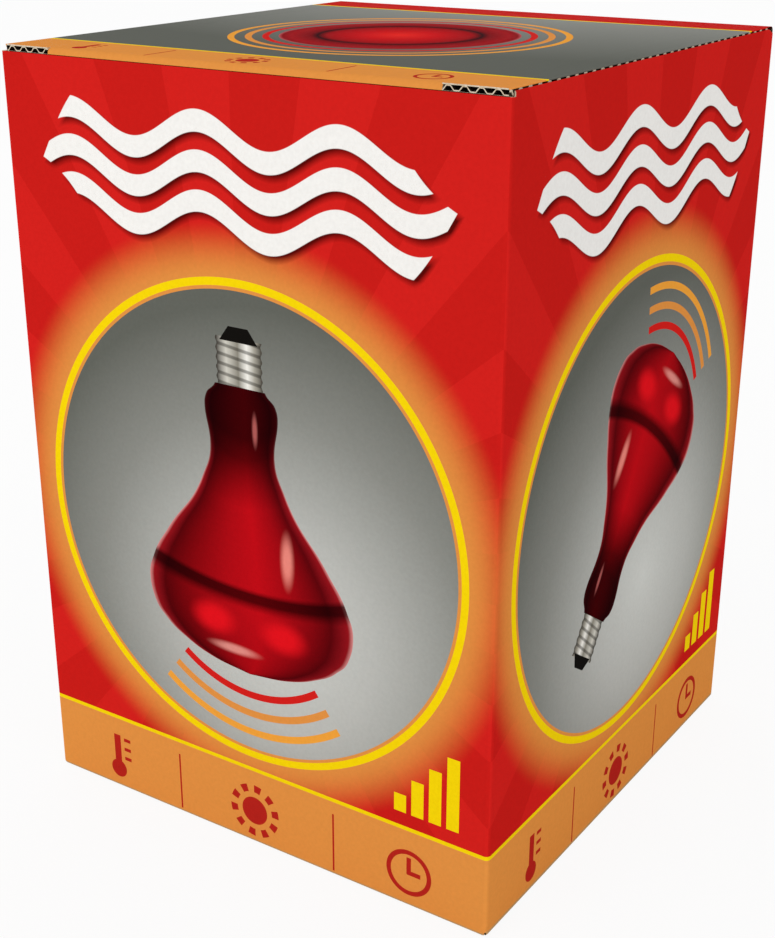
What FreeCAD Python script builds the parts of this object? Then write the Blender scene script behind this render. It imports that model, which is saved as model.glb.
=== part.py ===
"""Tuck-top carton of single-wall corrugated board, closed, with the reflector lamp that it was cut to fit.

The lamp drives the carton: the inside is the lamp's diameter and length plus the clearances below.
Millimetres, +Z up, origin at the middle of the base, front wall towards -Y.
"""
import FreeCAD, Part
import math
import os

V = FreeCAD.Vector
Z_AXIS = V(0, 0, 1)
NEAR = 1e-6

# Lamp, from the centre contact up to the crown
LAMP_DIAMETER = 125.0
LAMP_LENGTH = 178.0
CROWN_RADIUS = 85.0
SHOULDER_RADIUS = 20.0
NECK_DIAMETER = 38.0
NECK_LENGTH = 20.0
NECK_BLEND_RADIUS = 28.0
COLLAR_DIAMETER = 43.0
COLLAR_HEIGHT = 9.0
STUB_DIAMETER = 25.0
CAP_DIAMETER = 26.2
CAP_LENGTH = 20.0
INSULATOR_DIAMETER = 21.0
INSULATOR_HEIGHT = 4.5
CONTACT_DIAMETER = 11.0
CONTACT_HEIGHT = 2.0

# Room left round the lamp
WALL_CLEARANCE = 1.1
HEADROOM = 3.6

# Board, its folds and the fit of one panel on another
BOARD = 1.4
FOLD_RADIUS = 1.2
BASE_FOLD_RADIUS = 1.0
FIT = 0.15

# Lid and its tuck flap; the lid is cut narrower than its place and lies to the right
LID_SLACK = 1.6
NOSE_RADIUS = 1.3
HINGE_RADIUS = 1.2
SLIT_INSET = 14.8
TUCK_DEPTH = 22.0
TUCK_LEAN = 6.0
TUCK_GAP = 0.3
TUCK_CORNER = 9.0
TUCK_TAPER = 2.5

# Flute mouths at the lid's two cut corners
FLUTE_PITCH = 3.5
FLUTE_VALLEY = 0.3
FLUTE_DEPTH = 10.0
LINER = 0.22
MEDIUM = 0.2

# Dust flaps, and the crease lip that stands up beside the lid on the right
DUST_LENGTH = 42.0
DUST_SLOPE = 3.0
DUST_SHOULDER = 3.5
DUST_TAPER = 9.0
DUST_CORNER = 12.0
LIP_THICKNESS = 0.3
LIP_RISE = 0.9
LIP_ROUND = 0.2

# Crash-lock base and glued seam
BASE_SEAM = 0.6
BASE_SEAM_DEPTH = 0.8
BASE_HOOK = 14.0
BASE_HOOK_REACH = 24.0
GUSSET_REACH = 38.0
SEAM_FOLD_RADIUS = 1.2
GLUE_TAB = 16.0
GLUE_TAB_CUT = 6.0

# Worked out from the above
INSIDE = LAMP_DIAMETER + 2 * WALL_CLEARANCE
OUTSIDE = INSIDE + 2 * BOARD
HALF = OUTSIDE / 2
HALF_INSIDE = INSIDE / 2
FLOOR = 2 * BOARD
LID_BOTTOM = FLOOR + LAMP_LENGTH + HEADROOM
HEIGHT = LID_BOTTOM + BOARD
WALL_TOP = LID_BOTTOM - FIT
LIP_INNER = HALF - LIP_THICKNESS
LID_RIGHT = LIP_INNER - FIT
LID_LEFT = LID_SLACK - LID_RIGHT
TUCK_HALF = HALF - SLIT_INSET
CAP_BOTTOM = FLOOR + CONTACT_HEIGHT + INSULATOR_HEIGHT
CAP_TOP = CAP_BOTTOM + CAP_LENGTH


def polygon(points):
    """Face with straight sides through the points."""
    return Part.Face(Part.makePolygon(points + points[:1]))


def arc_edge(centre, radius, start, end):
    """Arc in the XZ plane round centre (x, z), between two angles in degrees."""
    def at(angle):
        turn = math.radians(angle)
        return V(centre[0] + radius * math.cos(turn), 0, centre[1] + radius * math.sin(turn))
    return Part.Arc(at(start), at((start + end) / 2), at(end)).toShape()


def line_edge(start, end):
    """Straight edge in the XZ plane between two (x, z) points."""
    return Part.makeLine(V(start[0], 0, start[1]), V(end[0], 0, end[1]))


def revolved(edges):
    """Solid of revolution about Z of a closed run of edges in the XZ plane."""
    return Part.Face(Part.Wire(edges)).revolve(V(0, 0, 0), Z_AXIS, 360)


def edges_where(shape, test):
    """Edges whose two ends both pass the test."""
    return [edge for edge in shape.Edges if all(test(vertex.Point) for vertex in edge.Vertexes)]


def upright_box(half, bottom, top, radius, square_corner=False):
    """Square prism about the Z axis with rounded upright edges, all four or all but the back left one."""
    box = Part.makeBox(2 * half, 2 * half, top - bottom, V(-half, -half, bottom))
    upright = [edge for edge in box.Edges if abs(edge.tangentAt(edge.FirstParameter).z) > 0.5]
    if square_corner:
        upright = [edge for edge in upright if edge.CenterOfMass.x > 0 or edge.CenterOfMass.y < 0]
    return box.makeFillet(radius, upright)


def wall_tube():
    """Four walls and the two-layer base, folded round the inside, with the back left corner cut square."""
    outer = upright_box(HALF, 0, WALL_TOP, FOLD_RADIUS, square_corner=True)
    outer = outer.makeFillet(BASE_FOLD_RADIUS, edges_where(outer, lambda p: abs(p.z) < NEAR))
    inner = upright_box(HALF_INSIDE, FLOOR, HEIGHT, max(FOLD_RADIUS - BOARD, FIT))
    return outer.cut(inner)


def seam_groove():
    """Groove on the back, between the left wall's cut end and the rounded fold of the back wall."""
    corner = V(-HALF_INSIDE, HALF - SEAM_FOLD_RADIUS, BASE_FOLD_RADIUS)
    square = Part.makeBox(SEAM_FOLD_RADIUS, SEAM_FOLD_RADIUS, HEIGHT, corner)
    fold = Part.makeCylinder(SEAM_FOLD_RADIUS, HEIGHT, corner + V(SEAM_FOLD_RADIUS, 0, 0))
    return square.cut(fold)


def glue_tab():
    """Tab that turns in from the back wall and is glued flat inside the left wall, its ends cut slanting."""
    back = HALF_INSIDE
    front = HALF_INSIDE - GLUE_TAB
    low = FLOOR + FIT
    high = WALL_TOP - BOARD
    outline = [V(-HALF_INSIDE, back, low), V(-HALF_INSIDE, back, high),
               V(-HALF_INSIDE, front, high - GLUE_TAB_CUT), V(-HALF_INSIDE, front, low + GLUE_TAB_CUT)]
    return polygon(outline).extrude(V(BOARD, 0, 0))


def base_seams():
    """Cuts that part the base: the hooked seam outside, and the gusset edges inside."""
    def slot(start, end, bottom, top):
        along = (end - start).normalize()
        across = V(-along.y, along.x, 0) * (BASE_SEAM / 2)
        face = polygon([start - across, end - across, end + across, start + across])
        face.translate(V(0, 0, bottom))
        return face.extrude(V(0, 0, top - bottom))

    reach = HALF - BASE_FOLD_RADIUS
    hooked = [V(-reach, -BASE_HOOK / 2, 0), V(-BASE_HOOK_REACH, -BASE_HOOK / 2, 0),
              V(BASE_HOOK_REACH, BASE_HOOK / 2, 0), V(reach, BASE_HOOK / 2, 0)]
    cuts = [slot(a, b, -FIT, BASE_SEAM_DEPTH) for a, b in zip(hooked, hooked[1:])]
    corner = HALF_INSIDE - FOLD_RADIUS
    for x, y in ((1, 1), (1, -1), (-1, 1), (-1, -1)):
        end = V(x * (corner - GUSSET_REACH), y * (corner - GUSSET_REACH), 0)
        cuts.append(slot(V(x * corner, y * corner, 0), end, FLOOR - BASE_SEAM_DEPTH, FLOOR + FIT))
    return cuts


def dust_flap(lip_top):
    """Right dust flap: the side wall's top fold up to its lip, then the flap sloping down under the lid."""
    fall = math.tan(math.radians(DUST_SLOPE))
    thick = BOARD / math.cos(math.radians(DUST_SLOPE))
    tip = LIP_INNER - DUST_LENGTH
    root = WALL_TOP - 2 * BOARD

    def top_at(x):
        return WALL_TOP - fall * (LIP_INNER - x)

    lip = [(LIP_INNER, lip_top)] if lip_top > WALL_TOP else []
    section = [(HALF, root), (HALF, lip_top), *lip, (LIP_INNER, WALL_TOP),
               (tip, top_at(tip)), (tip, top_at(tip) - thick),
               (HALF_INSIDE, top_at(HALF_INSIDE) - thick), (HALF_INSIDE, root)]
    back = min(HALF_INSIDE - FIT, HALF - FOLD_RADIUS)
    front = -back
    slab = polygon([V(x, front, z) for x, z in section]).extrude(V(0, back - front, 0))
    slab = slab.makeFillet(LIP_ROUND, edges_where(
        slab, lambda p: abs(p.x - HALF) < NEAR and abs(p.z - lip_top) < NEAR))

    shoulder = TUCK_HALF + TUCK_GAP
    step = front + DUST_SHOULDER
    outline = [V(HALF, front, 0), V(shoulder, front, 0), V(shoulder, step, 0),
               V(tip, step + DUST_TAPER, 0), V(tip, back - DUST_TAPER, 0),
               V(shoulder, back, 0), V(HALF, back, 0)]
    blank = polygon(outline).extrude(V(0, 0, 2 * HEIGHT))
    blank = blank.makeFillet(DUST_CORNER, [
        edge for edge in blank.Edges
        if all(abs(v.Point.x - tip) < NEAR for v in edge.Vertexes)
        and abs(edge.tangentAt(edge.FirstParameter).z) > 0.5])
    return slab.common(blank)


def carton_body():
    """One folded and glued sheet: walls, glued seam, base and dust flaps, the left one without a lip."""
    right = dust_flap(LID_BOTTOM + LIP_RISE)
    left = dust_flap(WALL_TOP).mirror(V(0, 0, 0), V(1, 0, 0))
    body = wall_tube().fuse([glue_tab(), right, left])
    return body.cut([seam_groove()] + base_seams()).removeSplitter()


def lid_panel():
    """Flat lid with a rounded fold at the hinge and square cut edges elsewhere."""
    panel = Part.makeBox(LID_RIGHT - LID_LEFT, OUTSIDE, BOARD, V(LID_LEFT, -HALF, LID_BOTTOM))
    back_top = edges_where(panel, lambda p: abs(p.y - HALF) < NEAR and abs(p.z - HEIGHT) < NEAR)
    return panel.makeFillet(HINGE_RADIUS, back_top)


def front_fold_waste():
    """What the rounded front fold takes off the panel between the two slits."""
    corner = V(-TUCK_HALF, -HALF, HEIGHT - NOSE_RADIUS)
    block = Part.makeBox(2 * TUCK_HALF, NOSE_RADIUS, NOSE_RADIUS, corner)
    bend = Part.makeCylinder(NOSE_RADIUS, 2 * TUCK_HALF, corner + V(0, NOSE_RADIUS, 0), V(1, 0, 0))
    return block.cut(bend)


def tuck_flap():
    """Flap behind the front wall, leaning inwards so that it clears the wall as the lid swings."""
    outer = -HALF_INSIDE + TUCK_GAP
    lean = TUCK_DEPTH * math.tan(math.radians(TUCK_LEAN))
    thick = BOARD / math.cos(math.radians(TUCK_LEAN))
    top = LID_BOTTOM + BOARD / 2
    top_shift = (LID_BOTTOM - top) * math.tan(math.radians(TUCK_LEAN))
    low = LID_BOTTOM - TUCK_DEPTH
    section = [V(0, outer + top_shift, top), V(0, outer + lean, low),
               V(0, outer + lean + thick, low), V(0, outer + top_shift + thick, top)]
    slab = polygon(section).extrude(V(2 * TUCK_HALF, 0, 0))
    slab.translate(V(-TUCK_HALF, 0, 0))
    outline = polygon([V(-TUCK_HALF, -HALF, top), V(TUCK_HALF, -HALF, top),
                       V(TUCK_HALF - TUCK_TAPER, -HALF, low), V(TUCK_TAPER - TUCK_HALF, -HALF, low)])
    blank = outline.extrude(V(0, OUTSIDE, 0))
    corners = [edge for edge in blank.Edges
               if all(abs(v.Point.z - low) < NEAR for v in edge.Vertexes)
               and abs(edge.tangentAt(edge.FirstParameter).y) > 0.5]
    return slab.common(blank.makeFillet(TUCK_CORNER, corners))


def flute_mouths(end):
    """Channels of the medium between a slit and the lid's end: wide under one liner, narrow at the other."""
    rise = BOARD - 2 * LINER - MEDIUM
    slope = MEDIUM / rise
    flank = MEDIUM * math.hypot(1, FLUTE_PITCH / 4 / rise)
    wide = (FLUTE_PITCH / 2 - flank - FLUTE_VALLEY * (1 + slope)) / (1 - slope)
    slit = math.copysign(TUCK_HALF, end)
    count = int(abs(end - slit) // FLUTE_PITCH)
    first = (slit + end - (count - 1) * FLUTE_PITCH) / 2

    def channel(index, wide_z, narrow_z):
        x = first + index * FLUTE_PITCH
        face = polygon([V(x - wide, -HALF, wide_z), V(x + wide, -HALF, wide_z),
                        V(x + FLUTE_VALLEY, -HALF, narrow_z), V(x - FLUTE_VALLEY, -HALF, narrow_z)])
        return face.extrude(V(0, FLUTE_DEPTH, 0))

    upper = [channel(index, HEIGHT - LINER, HEIGHT - LINER - rise) for index in range(count)]
    low = LID_BOTTOM + LINER
    lower = [channel(index + 0.5, low, low + rise) for index in range(count - 1)]
    return upper + lower


def lid():
    """Lid, front fold and tuck flap in one, with the flutes open at the two slit corners."""
    folded = lid_panel().cut(front_fold_waste()).fuse(tuck_flap())
    return folded.cut(flute_mouths(LID_LEFT) + flute_mouths(LID_RIGHT)).removeSplitter()


def lamp_glass():
    """Envelope: shallow crown, round shoulder, cone tangent to shoulder and neck, then neck and collar."""
    radius = LAMP_DIAMETER / 2
    neck = NECK_DIAMETER / 2
    collar = COLLAR_DIAMETER / 2
    collar_z = CAP_TOP + COLLAR_HEIGHT
    neck_z = collar_z + NECK_LENGTH
    crown_z = FLOOR + LAMP_LENGTH

    shoulder_x = radius - SHOULDER_RADIUS
    crown_drop = math.sqrt((CROWN_RADIUS - SHOULDER_RADIUS) ** 2 - shoulder_x ** 2)
    shoulder = (shoulder_x, crown_z - CROWN_RADIUS + crown_drop)
    crown = (0, crown_z - CROWN_RADIUS)
    crown_end = math.degrees(math.atan2(crown_drop, shoulder_x))

    # The cone crosses from the outside of the shoulder arc to the inside of the neck's hollow arc
    hollow = (neck + NECK_BLEND_RADIUS, neck_z)
    across = V(hollow[0] - shoulder[0], 0, hollow[1] - shoulder[1])
    opening = math.acos((SHOULDER_RADIUS + NECK_BLEND_RADIUS) / across.Length)
    normal = math.degrees(math.atan2(across.z, across.x) + opening)

    hollow_arc = arc_edge(hollow, NECK_BLEND_RADIUS, 180, 180 + normal)
    shoulder_arc = arc_edge(shoulder, SHOULDER_RADIUS, normal, crown_end)
    crown_arc = arc_edge(crown, CROWN_RADIUS, crown_end, 90)
    cone_low = hollow_arc.Vertexes[-1].Point
    cone_high = shoulder_arc.Vertexes[0].Point
    stub = STUB_DIAMETER / 2
    return revolved([
        line_edge((0, CAP_TOP), (stub, CAP_TOP)),
        line_edge((stub, CAP_TOP), (collar, collar_z)),
        line_edge((collar, collar_z), (neck, neck_z)),
        hollow_arc,
        line_edge((cone_low.x, cone_low.z), (cone_high.x, cone_high.z)),
        shoulder_arc,
        crown_arc,
        line_edge((0, crown_z), (0, CAP_TOP)),
    ])


def lamp_cap():
    """Screw shell, at the thread's outer diameter."""
    return Part.makeCylinder(CAP_DIAMETER / 2, CAP_LENGTH, V(0, 0, CAP_BOTTOM))


def lamp_cap_insulator():
    """Glass insulator between shell and contact, a short cone."""
    bottom = FLOOR + CONTACT_HEIGHT
    return Part.makeCone(CONTACT_DIAMETER / 2, INSULATOR_DIAMETER / 2, INSULATOR_HEIGHT, V(0, 0, bottom))


def lamp_contact():
    """Centre contact, the disc that the lamp stands on."""
    return Part.makeCylinder(CONTACT_DIAMETER / 2, CONTACT_HEIGHT, V(0, 0, FLOOR))


os.makedirs("parts", exist_ok=True)
for make in (carton_body, lid, lamp_glass, lamp_cap, lamp_cap_insulator, lamp_contact):
    make().exportStep(f"parts/{make.__name__}.step")
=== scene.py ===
"""Dresses a printed lamp carton: fluted board, print, folds and the lamp inside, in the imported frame."""
import logging
import math
from collections.abc import Callable
from dataclasses import dataclass, field, replace
from enum import Enum, IntEnum
from functools import partial, reduce
from typing import Any

import bmesh
import bpy
import numpy as np
from mathutils import Matrix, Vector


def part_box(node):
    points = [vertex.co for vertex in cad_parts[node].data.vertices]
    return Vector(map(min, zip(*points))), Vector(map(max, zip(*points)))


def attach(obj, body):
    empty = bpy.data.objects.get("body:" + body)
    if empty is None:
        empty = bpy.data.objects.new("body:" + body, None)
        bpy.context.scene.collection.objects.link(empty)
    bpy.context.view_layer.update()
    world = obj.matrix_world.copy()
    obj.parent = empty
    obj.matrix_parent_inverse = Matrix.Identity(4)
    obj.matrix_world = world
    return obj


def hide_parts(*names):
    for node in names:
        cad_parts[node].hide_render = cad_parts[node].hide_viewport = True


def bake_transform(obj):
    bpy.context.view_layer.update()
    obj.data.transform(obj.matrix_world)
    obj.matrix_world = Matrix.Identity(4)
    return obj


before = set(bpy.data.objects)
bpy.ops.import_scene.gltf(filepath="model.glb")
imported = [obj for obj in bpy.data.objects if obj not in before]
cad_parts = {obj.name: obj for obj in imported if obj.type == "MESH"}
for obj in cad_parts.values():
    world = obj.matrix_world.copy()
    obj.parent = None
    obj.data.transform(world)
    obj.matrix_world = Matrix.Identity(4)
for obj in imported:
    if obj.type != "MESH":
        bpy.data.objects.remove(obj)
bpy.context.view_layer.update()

LOG = logging.getLogger("lamp_carton")
MM = 0.001
TURN = 2 * math.pi
NOISE_RANGE = (0.3, 0.7)

Pair = tuple[float, float]
Triple = tuple[float, float, float]
Colour = tuple[float, float, float, float]
Material = bpy.types.Material
Piece = bpy.types.Object
Socket = bpy.types.NodeSocket
AddNode = Callable[..., Socket]
Inputs = dict[str, Socket | Colour | float]


class Ink(str, Enum):
    """Inks of the print, as sRGB hex colours of the dry sheet."""

    RED = "#D3211D"
    DEEP_RED = "#C91D19"
    DARK_RED = "#B4241D"
    ORANGE = "#E29244"
    AMBER = "#F0A23C"
    YELLOW = "#F7D60A"
    WHITE = "#F4F2EE"
    SHADOW = "#5A0A08"


class Panel(Enum):
    """The axes that a printed panel lies in, across and up, and the way it faces if another is opposite."""

    FRONT = ("X", "Z", (0.0, -1.0, 0.0))
    SIDE = ("Y", "Z", (1.0, 0.0, 0.0))
    LID = ("X", "Y", None)


class Skin(IntEnum):
    """Finishes of the board, in the order of a piece's material slots."""

    FRONT = 0
    SIDE = 1
    LID = 2
    FLAP = 3
    KRAFT = 4
    RAW = 5
    # painted shade: the near-black finish inside the flutes and in dark pits
    FLUTE_SHADE = 6


def linear(code: str) -> Colour:
    """Turns an sRGB hex colour into linear RGBA.

    Args:
        code: colour such as "#C81510".

    Returns:
        Linear red, green and blue, and an alpha of 1.
    """
    shares = np.array([int(code[i:i + 2], 16) for i in (1, 3, 5)]) / 255
    bright = ((shares + 0.055) / 1.055) ** 2.4
    return (*np.where(shares <= 0.04045, shares / 12.92, bright).tolist(), 1.0)


def add_node(tree: bpy.types.NodeTree, kind: str, fills: dict | tuple = (), out: int | str = 0,
             **settings: Any) -> Socket | None:
    """Adds one node, with its settings, values and links.

    Args:
        tree: node tree that gets the node.
        kind: the node's type without its ShaderNode prefix.
        fills: inputs by name or number, or in order; each a value or the socket that feeds it.
        out: the output wanted, by name or number.
        settings: properties of the node, such as operation; stops fills a colour ramp, curve a float curve.

    Returns:
        The wanted output socket, if the node has any.
    """
    node = tree.nodes.new("ShaderNode" + kind)
    stops = settings.pop("stops", ())
    curve = settings.pop("curve", ())
    for name, value in settings.items():
        setattr(node, name, value)
    for index, (position, colour) in enumerate(stops):
        ramp = node.color_ramp.elements
        element = ramp[index] if index < len(ramp) else ramp.new(position)
        element.position = position
        element.color = linear(colour) if isinstance(colour, str) else (colour, colour, colour, 1.0)
    if curve:
        line = node.mapping.curves[0]
        line.points[0].location, line.points[1].location = curve[0], curve[-1]
        for position, value in curve[1:-1]:
            line.points.new(position, value)
        for point in line.points:
            point.handle_type = "AUTO_CLAMPED"
        node.mapping.update()
    pairs = fills.items() if isinstance(fills, dict) else enumerate(fills)
    for key, value in pairs:
        if isinstance(value, Socket):
            tree.links.new(value, node.inputs[key])
        else:
            node.inputs[key].default_value = value
    return node.outputs[out] if len(node.outputs) else None


def empty_tree(owner: Material | bpy.types.World) -> AddNode:
    """Empties the node tree of a material or a world.

    Args:
        owner: the material or the world.

    Returns:
        The function add_node for that tree.
    """
    owner.use_nodes = True
    owner.node_tree.nodes.clear()
    return partial(add_node, owner.node_tree)


def grid_quads(index: np.ndarray) -> np.ndarray:
    """Corners of each cell of a grid of point numbers, as an array of shape (rows, columns, 4)."""
    return np.stack([index[:-1, :-1], index[:-1, 1:], index[1:, 1:], index[1:, :-1]], axis=-1)


@dataclass
class MeshDraft:
    """Points and quads of one piece in millimetres, gathered surface by surface."""

    name: str
    points: list[np.ndarray] = field(default_factory=list)
    quads: list[np.ndarray] = field(default_factory=list)
    finishes: list[np.ndarray] = field(default_factory=list)
    count: int = 0
    merge: float = 1e-7

    def add(self, points: np.ndarray, quads: np.ndarray, finish: np.ndarray) -> None:
        """Adds quads with their points, without the points that no quad uses.

        Args:
            points: points of shape (n, 3).
            quads: point numbers of shape (m, 4).
            finish: material slot of each quad.
        """
        used, numbers = np.unique(quads, return_inverse=True)
        self.points.append(points[used])
        self.quads.append(self.count + numbers.reshape(-1, 4))
        self.finishes.append(finish)
        self.count += len(used)

    def surface(self, grid: np.ndarray, wrap: bool = False) -> None:
        """Adds a grid of points as quads, in the first material slot.

        Args:
            grid: points of shape (rows, columns, 3).
            wrap: whether the last column joins the first.
        """
        rows, columns = grid.shape[:2]
        index = np.arange(rows * columns).reshape(rows, columns)
        if wrap:
            index = np.concatenate([index, index[:, :1]], axis=1)
        quads = grid_quads(index).reshape(-1, 4)
        self.add(grid.reshape(-1, 3), quads, np.zeros(len(quads), int))

    def slab(self, outer: np.ndarray, inner: np.ndarray, outside: int | np.ndarray, inside: int, edge: int,
             keep: np.ndarray | bool = True) -> None:
        """Adds a sheet with thickness: two skins on matching grids and the cut edge all round.

        The cut edge follows every side that only one quad of the skin has.

        Args:
            outer: grid of the outer skin.
            inner: grid of the inner skin, point for point.
            outside: finish of the outer skin, one for all or an array that fits the grid of quads.
            inside: finish of the inner skin.
            edge: finish of the cut edge.
            keep: which quads of the grid are there.
        """
        below = outer.shape[0] * outer.shape[1]
        grid = grid_quads(np.arange(below).reshape(outer.shape[:2]))
        kept = np.broadcast_to(keep, grid.shape[:2])
        quads = grid[kept]
        sides = np.concatenate([quads[:, [0, 1]], quads[:, [1, 2]], quads[:, [2, 3]], quads[:, [3, 0]]])
        _, first, uses = np.unique(np.sort(sides, axis=1), axis=0, return_index=True, return_counts=True)
        rim = sides[first[uses == 1]]
        self.add(
            np.concatenate([outer.reshape(-1, 3), inner.reshape(-1, 3)]),
            np.concatenate([quads, quads[:, ::-1] + below, np.hstack([rim[:, ::-1], rim + below])]),
            np.concatenate([np.broadcast_to(outside, kept.shape)[kept], np.full(len(quads), inside),
                            np.full(len(rim), edge)]))

    def lathe(self, profile: np.ndarray, segments: int) -> None:
        """Adds a surface of revolution about Z.

        Args:
            profile: points of shape (rows, 2), radius and height.
            segments: quads in a turn.
        """
        angle = np.linspace(0, TURN, segments, endpoint=False)
        radius = profile[:, :1]
        height = np.broadcast_to(profile[:, 1:], (len(profile), segments))
        self.surface(np.stack([radius * np.cos(angle), radius * np.sin(angle), height], axis=-1), wrap=True)

    def build(self, materials: list[Material], sharp_angle: float = 35.0) -> Piece:
        """Makes the object: closes seams and poles, turns faces outwards and smooths below an angle.

        Args:
            materials: the piece's material slots.
            sharp_angle: edges that turn by more degrees stay sharp.

        Returns:
            The linked object, at the origin.
        """
        mesh = bpy.data.meshes.new(self.name)
        quads = np.concatenate(self.quads)
        mesh.from_pydata(np.concatenate(self.points) * MM, [], quads.tolist())
        for material in materials:
            mesh.materials.append(material)
        mesh.polygons.foreach_set("material_index", np.concatenate(self.finishes).astype(np.int32))
        mesh.polygons.foreach_set("use_smooth", np.ones(len(quads), bool))
        draft = bmesh.new()
        draft.from_mesh(mesh)
        bmesh.ops.remove_doubles(draft, verts=draft.verts, dist=self.merge)
        bmesh.ops.recalc_face_normals(draft, faces=draft.faces)
        draft.to_mesh(mesh)
        draft.free()
        mesh.set_sharp_from_angle(angle=math.radians(sharp_angle))
        piece = bpy.data.objects.new(self.name, mesh)
        bpy.context.scene.collection.objects.link(piece)
        return piece


def stand_in(piece: Piece, node: str, body: str) -> Piece:
    """Puts a finished piece on a body in place of a node.

    Args:
        piece: the piece.
        node: the node that it stands for.
        body: the body that it rides on.

    Returns:
        The piece.
    """
    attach(piece, body)
    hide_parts(node)
    return piece


def round_node(node: str) -> Triple:
    """Returns the radius, the lowest and the highest point of a round node, in millimetres."""
    low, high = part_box(node)
    return high.x / MM, low.z / MM, high.z / MM


def arc(centre: Pair, radius: float, start: float, end: float, steps: int) -> np.ndarray:
    """Points on a circular arc.

    Args:
        centre: the circle's centre.
        radius: its radius.
        start: first angle in degrees.
        end: last angle in degrees.
        steps: number of chords.

    Returns:
        Points of shape (steps + 1, 2).
    """
    angle = np.radians(np.linspace(start, end, steps + 1))
    return np.array(centre) + radius * np.stack([np.cos(angle), np.sin(angle)], axis=-1)


def carry(section: np.ndarray, places: np.ndarray) -> np.ndarray:
    """Carries a section along the axis that stands on it.

    Args:
        section: points of shape (rows, 2).
        places: places along the axis, the same for all points or a row of them for each.

    Returns:
        Grid of shape (rows, places, 3), the place first.
    """
    along = np.broadcast_to(places, (len(section), np.shape(places)[-1]))
    lines = np.broadcast_to(section[:, None], (*along.shape, 2))
    return np.concatenate([along[..., None], lines], axis=-1)


class Artwork:
    """The print on one panel: flat shapes laid over each other, in millimetres on the panel."""

    def __init__(self, node: AddNode, panel: Panel) -> None:
        """Reads the panel's own plane from object coordinates, turned round on the opposite panel.

        Args:
            node: adds a node to the panel's material.
            panel: the plane that the panel lies in.
        """
        self.node = node
        metres = node("TexCoord", out="Object")
        self.place_3d = node("VectorMath", (metres, (1 / MM,) * 3), operation="MULTIPLY")
        across, up, facing = panel.value
        self.u = node("SeparateXYZ", (self.place_3d,), out=across)
        if facing:
            outwards = node("VectorMath", (self.place_3d, facing), out="Value", operation="DOT_PRODUCT")
            turned = node("Math", (outwards,), operation="SIGN")
            self.u = node("Math", (self.u, turned), operation="MULTIPLY")
        self.v = node("SeparateXYZ", (self.place_3d,), out=up)
        self.place = node("CombineXYZ", (self.u, self.v))
        self.colour: Socket | None = None

    def lay(self, ink: Socket | str, mask: Socket | float = 1.0) -> None:
        """Lays an ink over the print where the mask is 1.

        Args:
            ink: hex colour, or a socket with a colour that varies.
            mask: share of the ink, over the panel or the same all over.
        """
        over = ink if isinstance(ink, Socket) else linear(ink)
        under = linear(Ink.WHITE) if self.colour is None else self.colour
        self.colour = self.node("Mix", {0: mask, 6: under, 7: over}, out=2, data_type="RGBA")

    def inked(self, tone_factor: Socket) -> Socket:
        """Returns the print's colour times a factor, which carries mottle and can carry a painted highlight.
        """
        fills = {0: 1.0, 6: self.colour, 7: tone_factor}
        return self.node("Mix", fills, out=2, data_type="RGBA", blend_type="MULTIPLY")

    def away(self, centre: Pair) -> Socket:
        """Distance from a point on the panel, in millimetres."""
        return self.node("VectorMath", (self.place, (*centre, 0)), out="Value", operation="DISTANCE")

    def disc(self, centre: Pair, radius: float) -> Socket:
        """Mask of a disc."""
        return self.node("Math", (self.away(centre), radius), operation="LESS_THAN")

    def ring(self, centre: Pair, radius: float, line: float) -> Socket:
        """Mask of a circular line of the given width."""
        return self.node("Math", (self.away(centre), radius, line / 2), operation="COMPARE")

    def bar(self, centre: Pair, size: Pair) -> Socket:
        """Mask of an upright rectangle.

        Args:
            centre: its middle.
            size: its width and height.

        Returns:
            The mask.
        """
        return self.shared(*(
            self.node("Math", (place, middle, side / 2), operation="COMPARE")
            for place, middle, side in zip((self.u, self.v), centre, size)))

    def joined(self, *masks: Socket) -> Socket:
        """Mask of what any of the given masks covers."""
        return reduce(lambda one, other: self.node("Math", (one, other), operation="MAXIMUM"), masks)

    def shared(self, *masks: Socket) -> Socket:
        """Mask of what all of the given masks cover."""
        return reduce(lambda one, other: self.node("Math", (one, other), operation="MULTIPLY"), masks)

    def spokes(self, centre: Pair, count: int) -> Socket:
        """Mask of rays from a point: where the sine of count times the angle is positive.

        Args:
            centre: the point.
            count: number of rays.

        Returns:
            The mask.
        """
        offset = self.node("VectorMath", (self.place, (*centre, 0)), operation="SUBTRACT")
        across = self.node("SeparateXYZ", (offset,), out="X")
        up = self.node("SeparateXYZ", (offset,), out="Y")
        angle = self.node("Math", (up, across), operation="ARCTAN2")
        phase = self.node("Math", (angle, float(count)), operation="MULTIPLY")
        wave = self.node("Math", (phase,), operation="SINE")
        return self.node("Math", (wave, 0.0), operation="GREATER_THAN")

    def sun(self, centre: Pair, radius: float, rays: int = 10) -> Socket:
        """Mask of a sun: a disc inside a ring of short rays."""
        ring = self.ring(centre, radius * 0.86, radius * 0.28)
        return self.joined(self.shared(self.spokes(centre, rays), ring), self.disc(centre, radius * 0.52))

    def clock(self, centre: Pair, radius: float) -> Socket:
        """Mask of a clock: a ring with two hands.

        Args:
            centre: its middle.
            radius: its outer radius.

        Returns:
            The mask.
        """
        x, y = centre
        line = radius * 0.2
        return self.joined(
            self.ring(centre, radius * 0.9, line),
            self.bar((x, y + radius * 0.3), (line, radius * 0.75)),
            self.bar((x + radius * 0.22, y), (radius * 0.6, line)))

    def thermometer(self, centre: Pair, radius: float) -> Socket:
        """Mask of a thermometer: a stem on a bulb, with three marks beside it.

        Args:
            centre: its middle.
            radius: half of its height.

        Returns:
            The mask.
        """
        x, y = centre
        bulb = self.disc((x, y - radius * 0.6), radius * 0.42)
        stem = self.bar((x, y + radius * 0.25), (radius * 0.36, radius * 1.6))
        mark = (radius * 0.36, radius * 0.16)
        marks = [self.bar((x + radius * 0.55, y + radius * rise), mark) for rise in (0.0, 0.45, 0.9)]
        return self.joined(bulb, stem, *marks)

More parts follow.
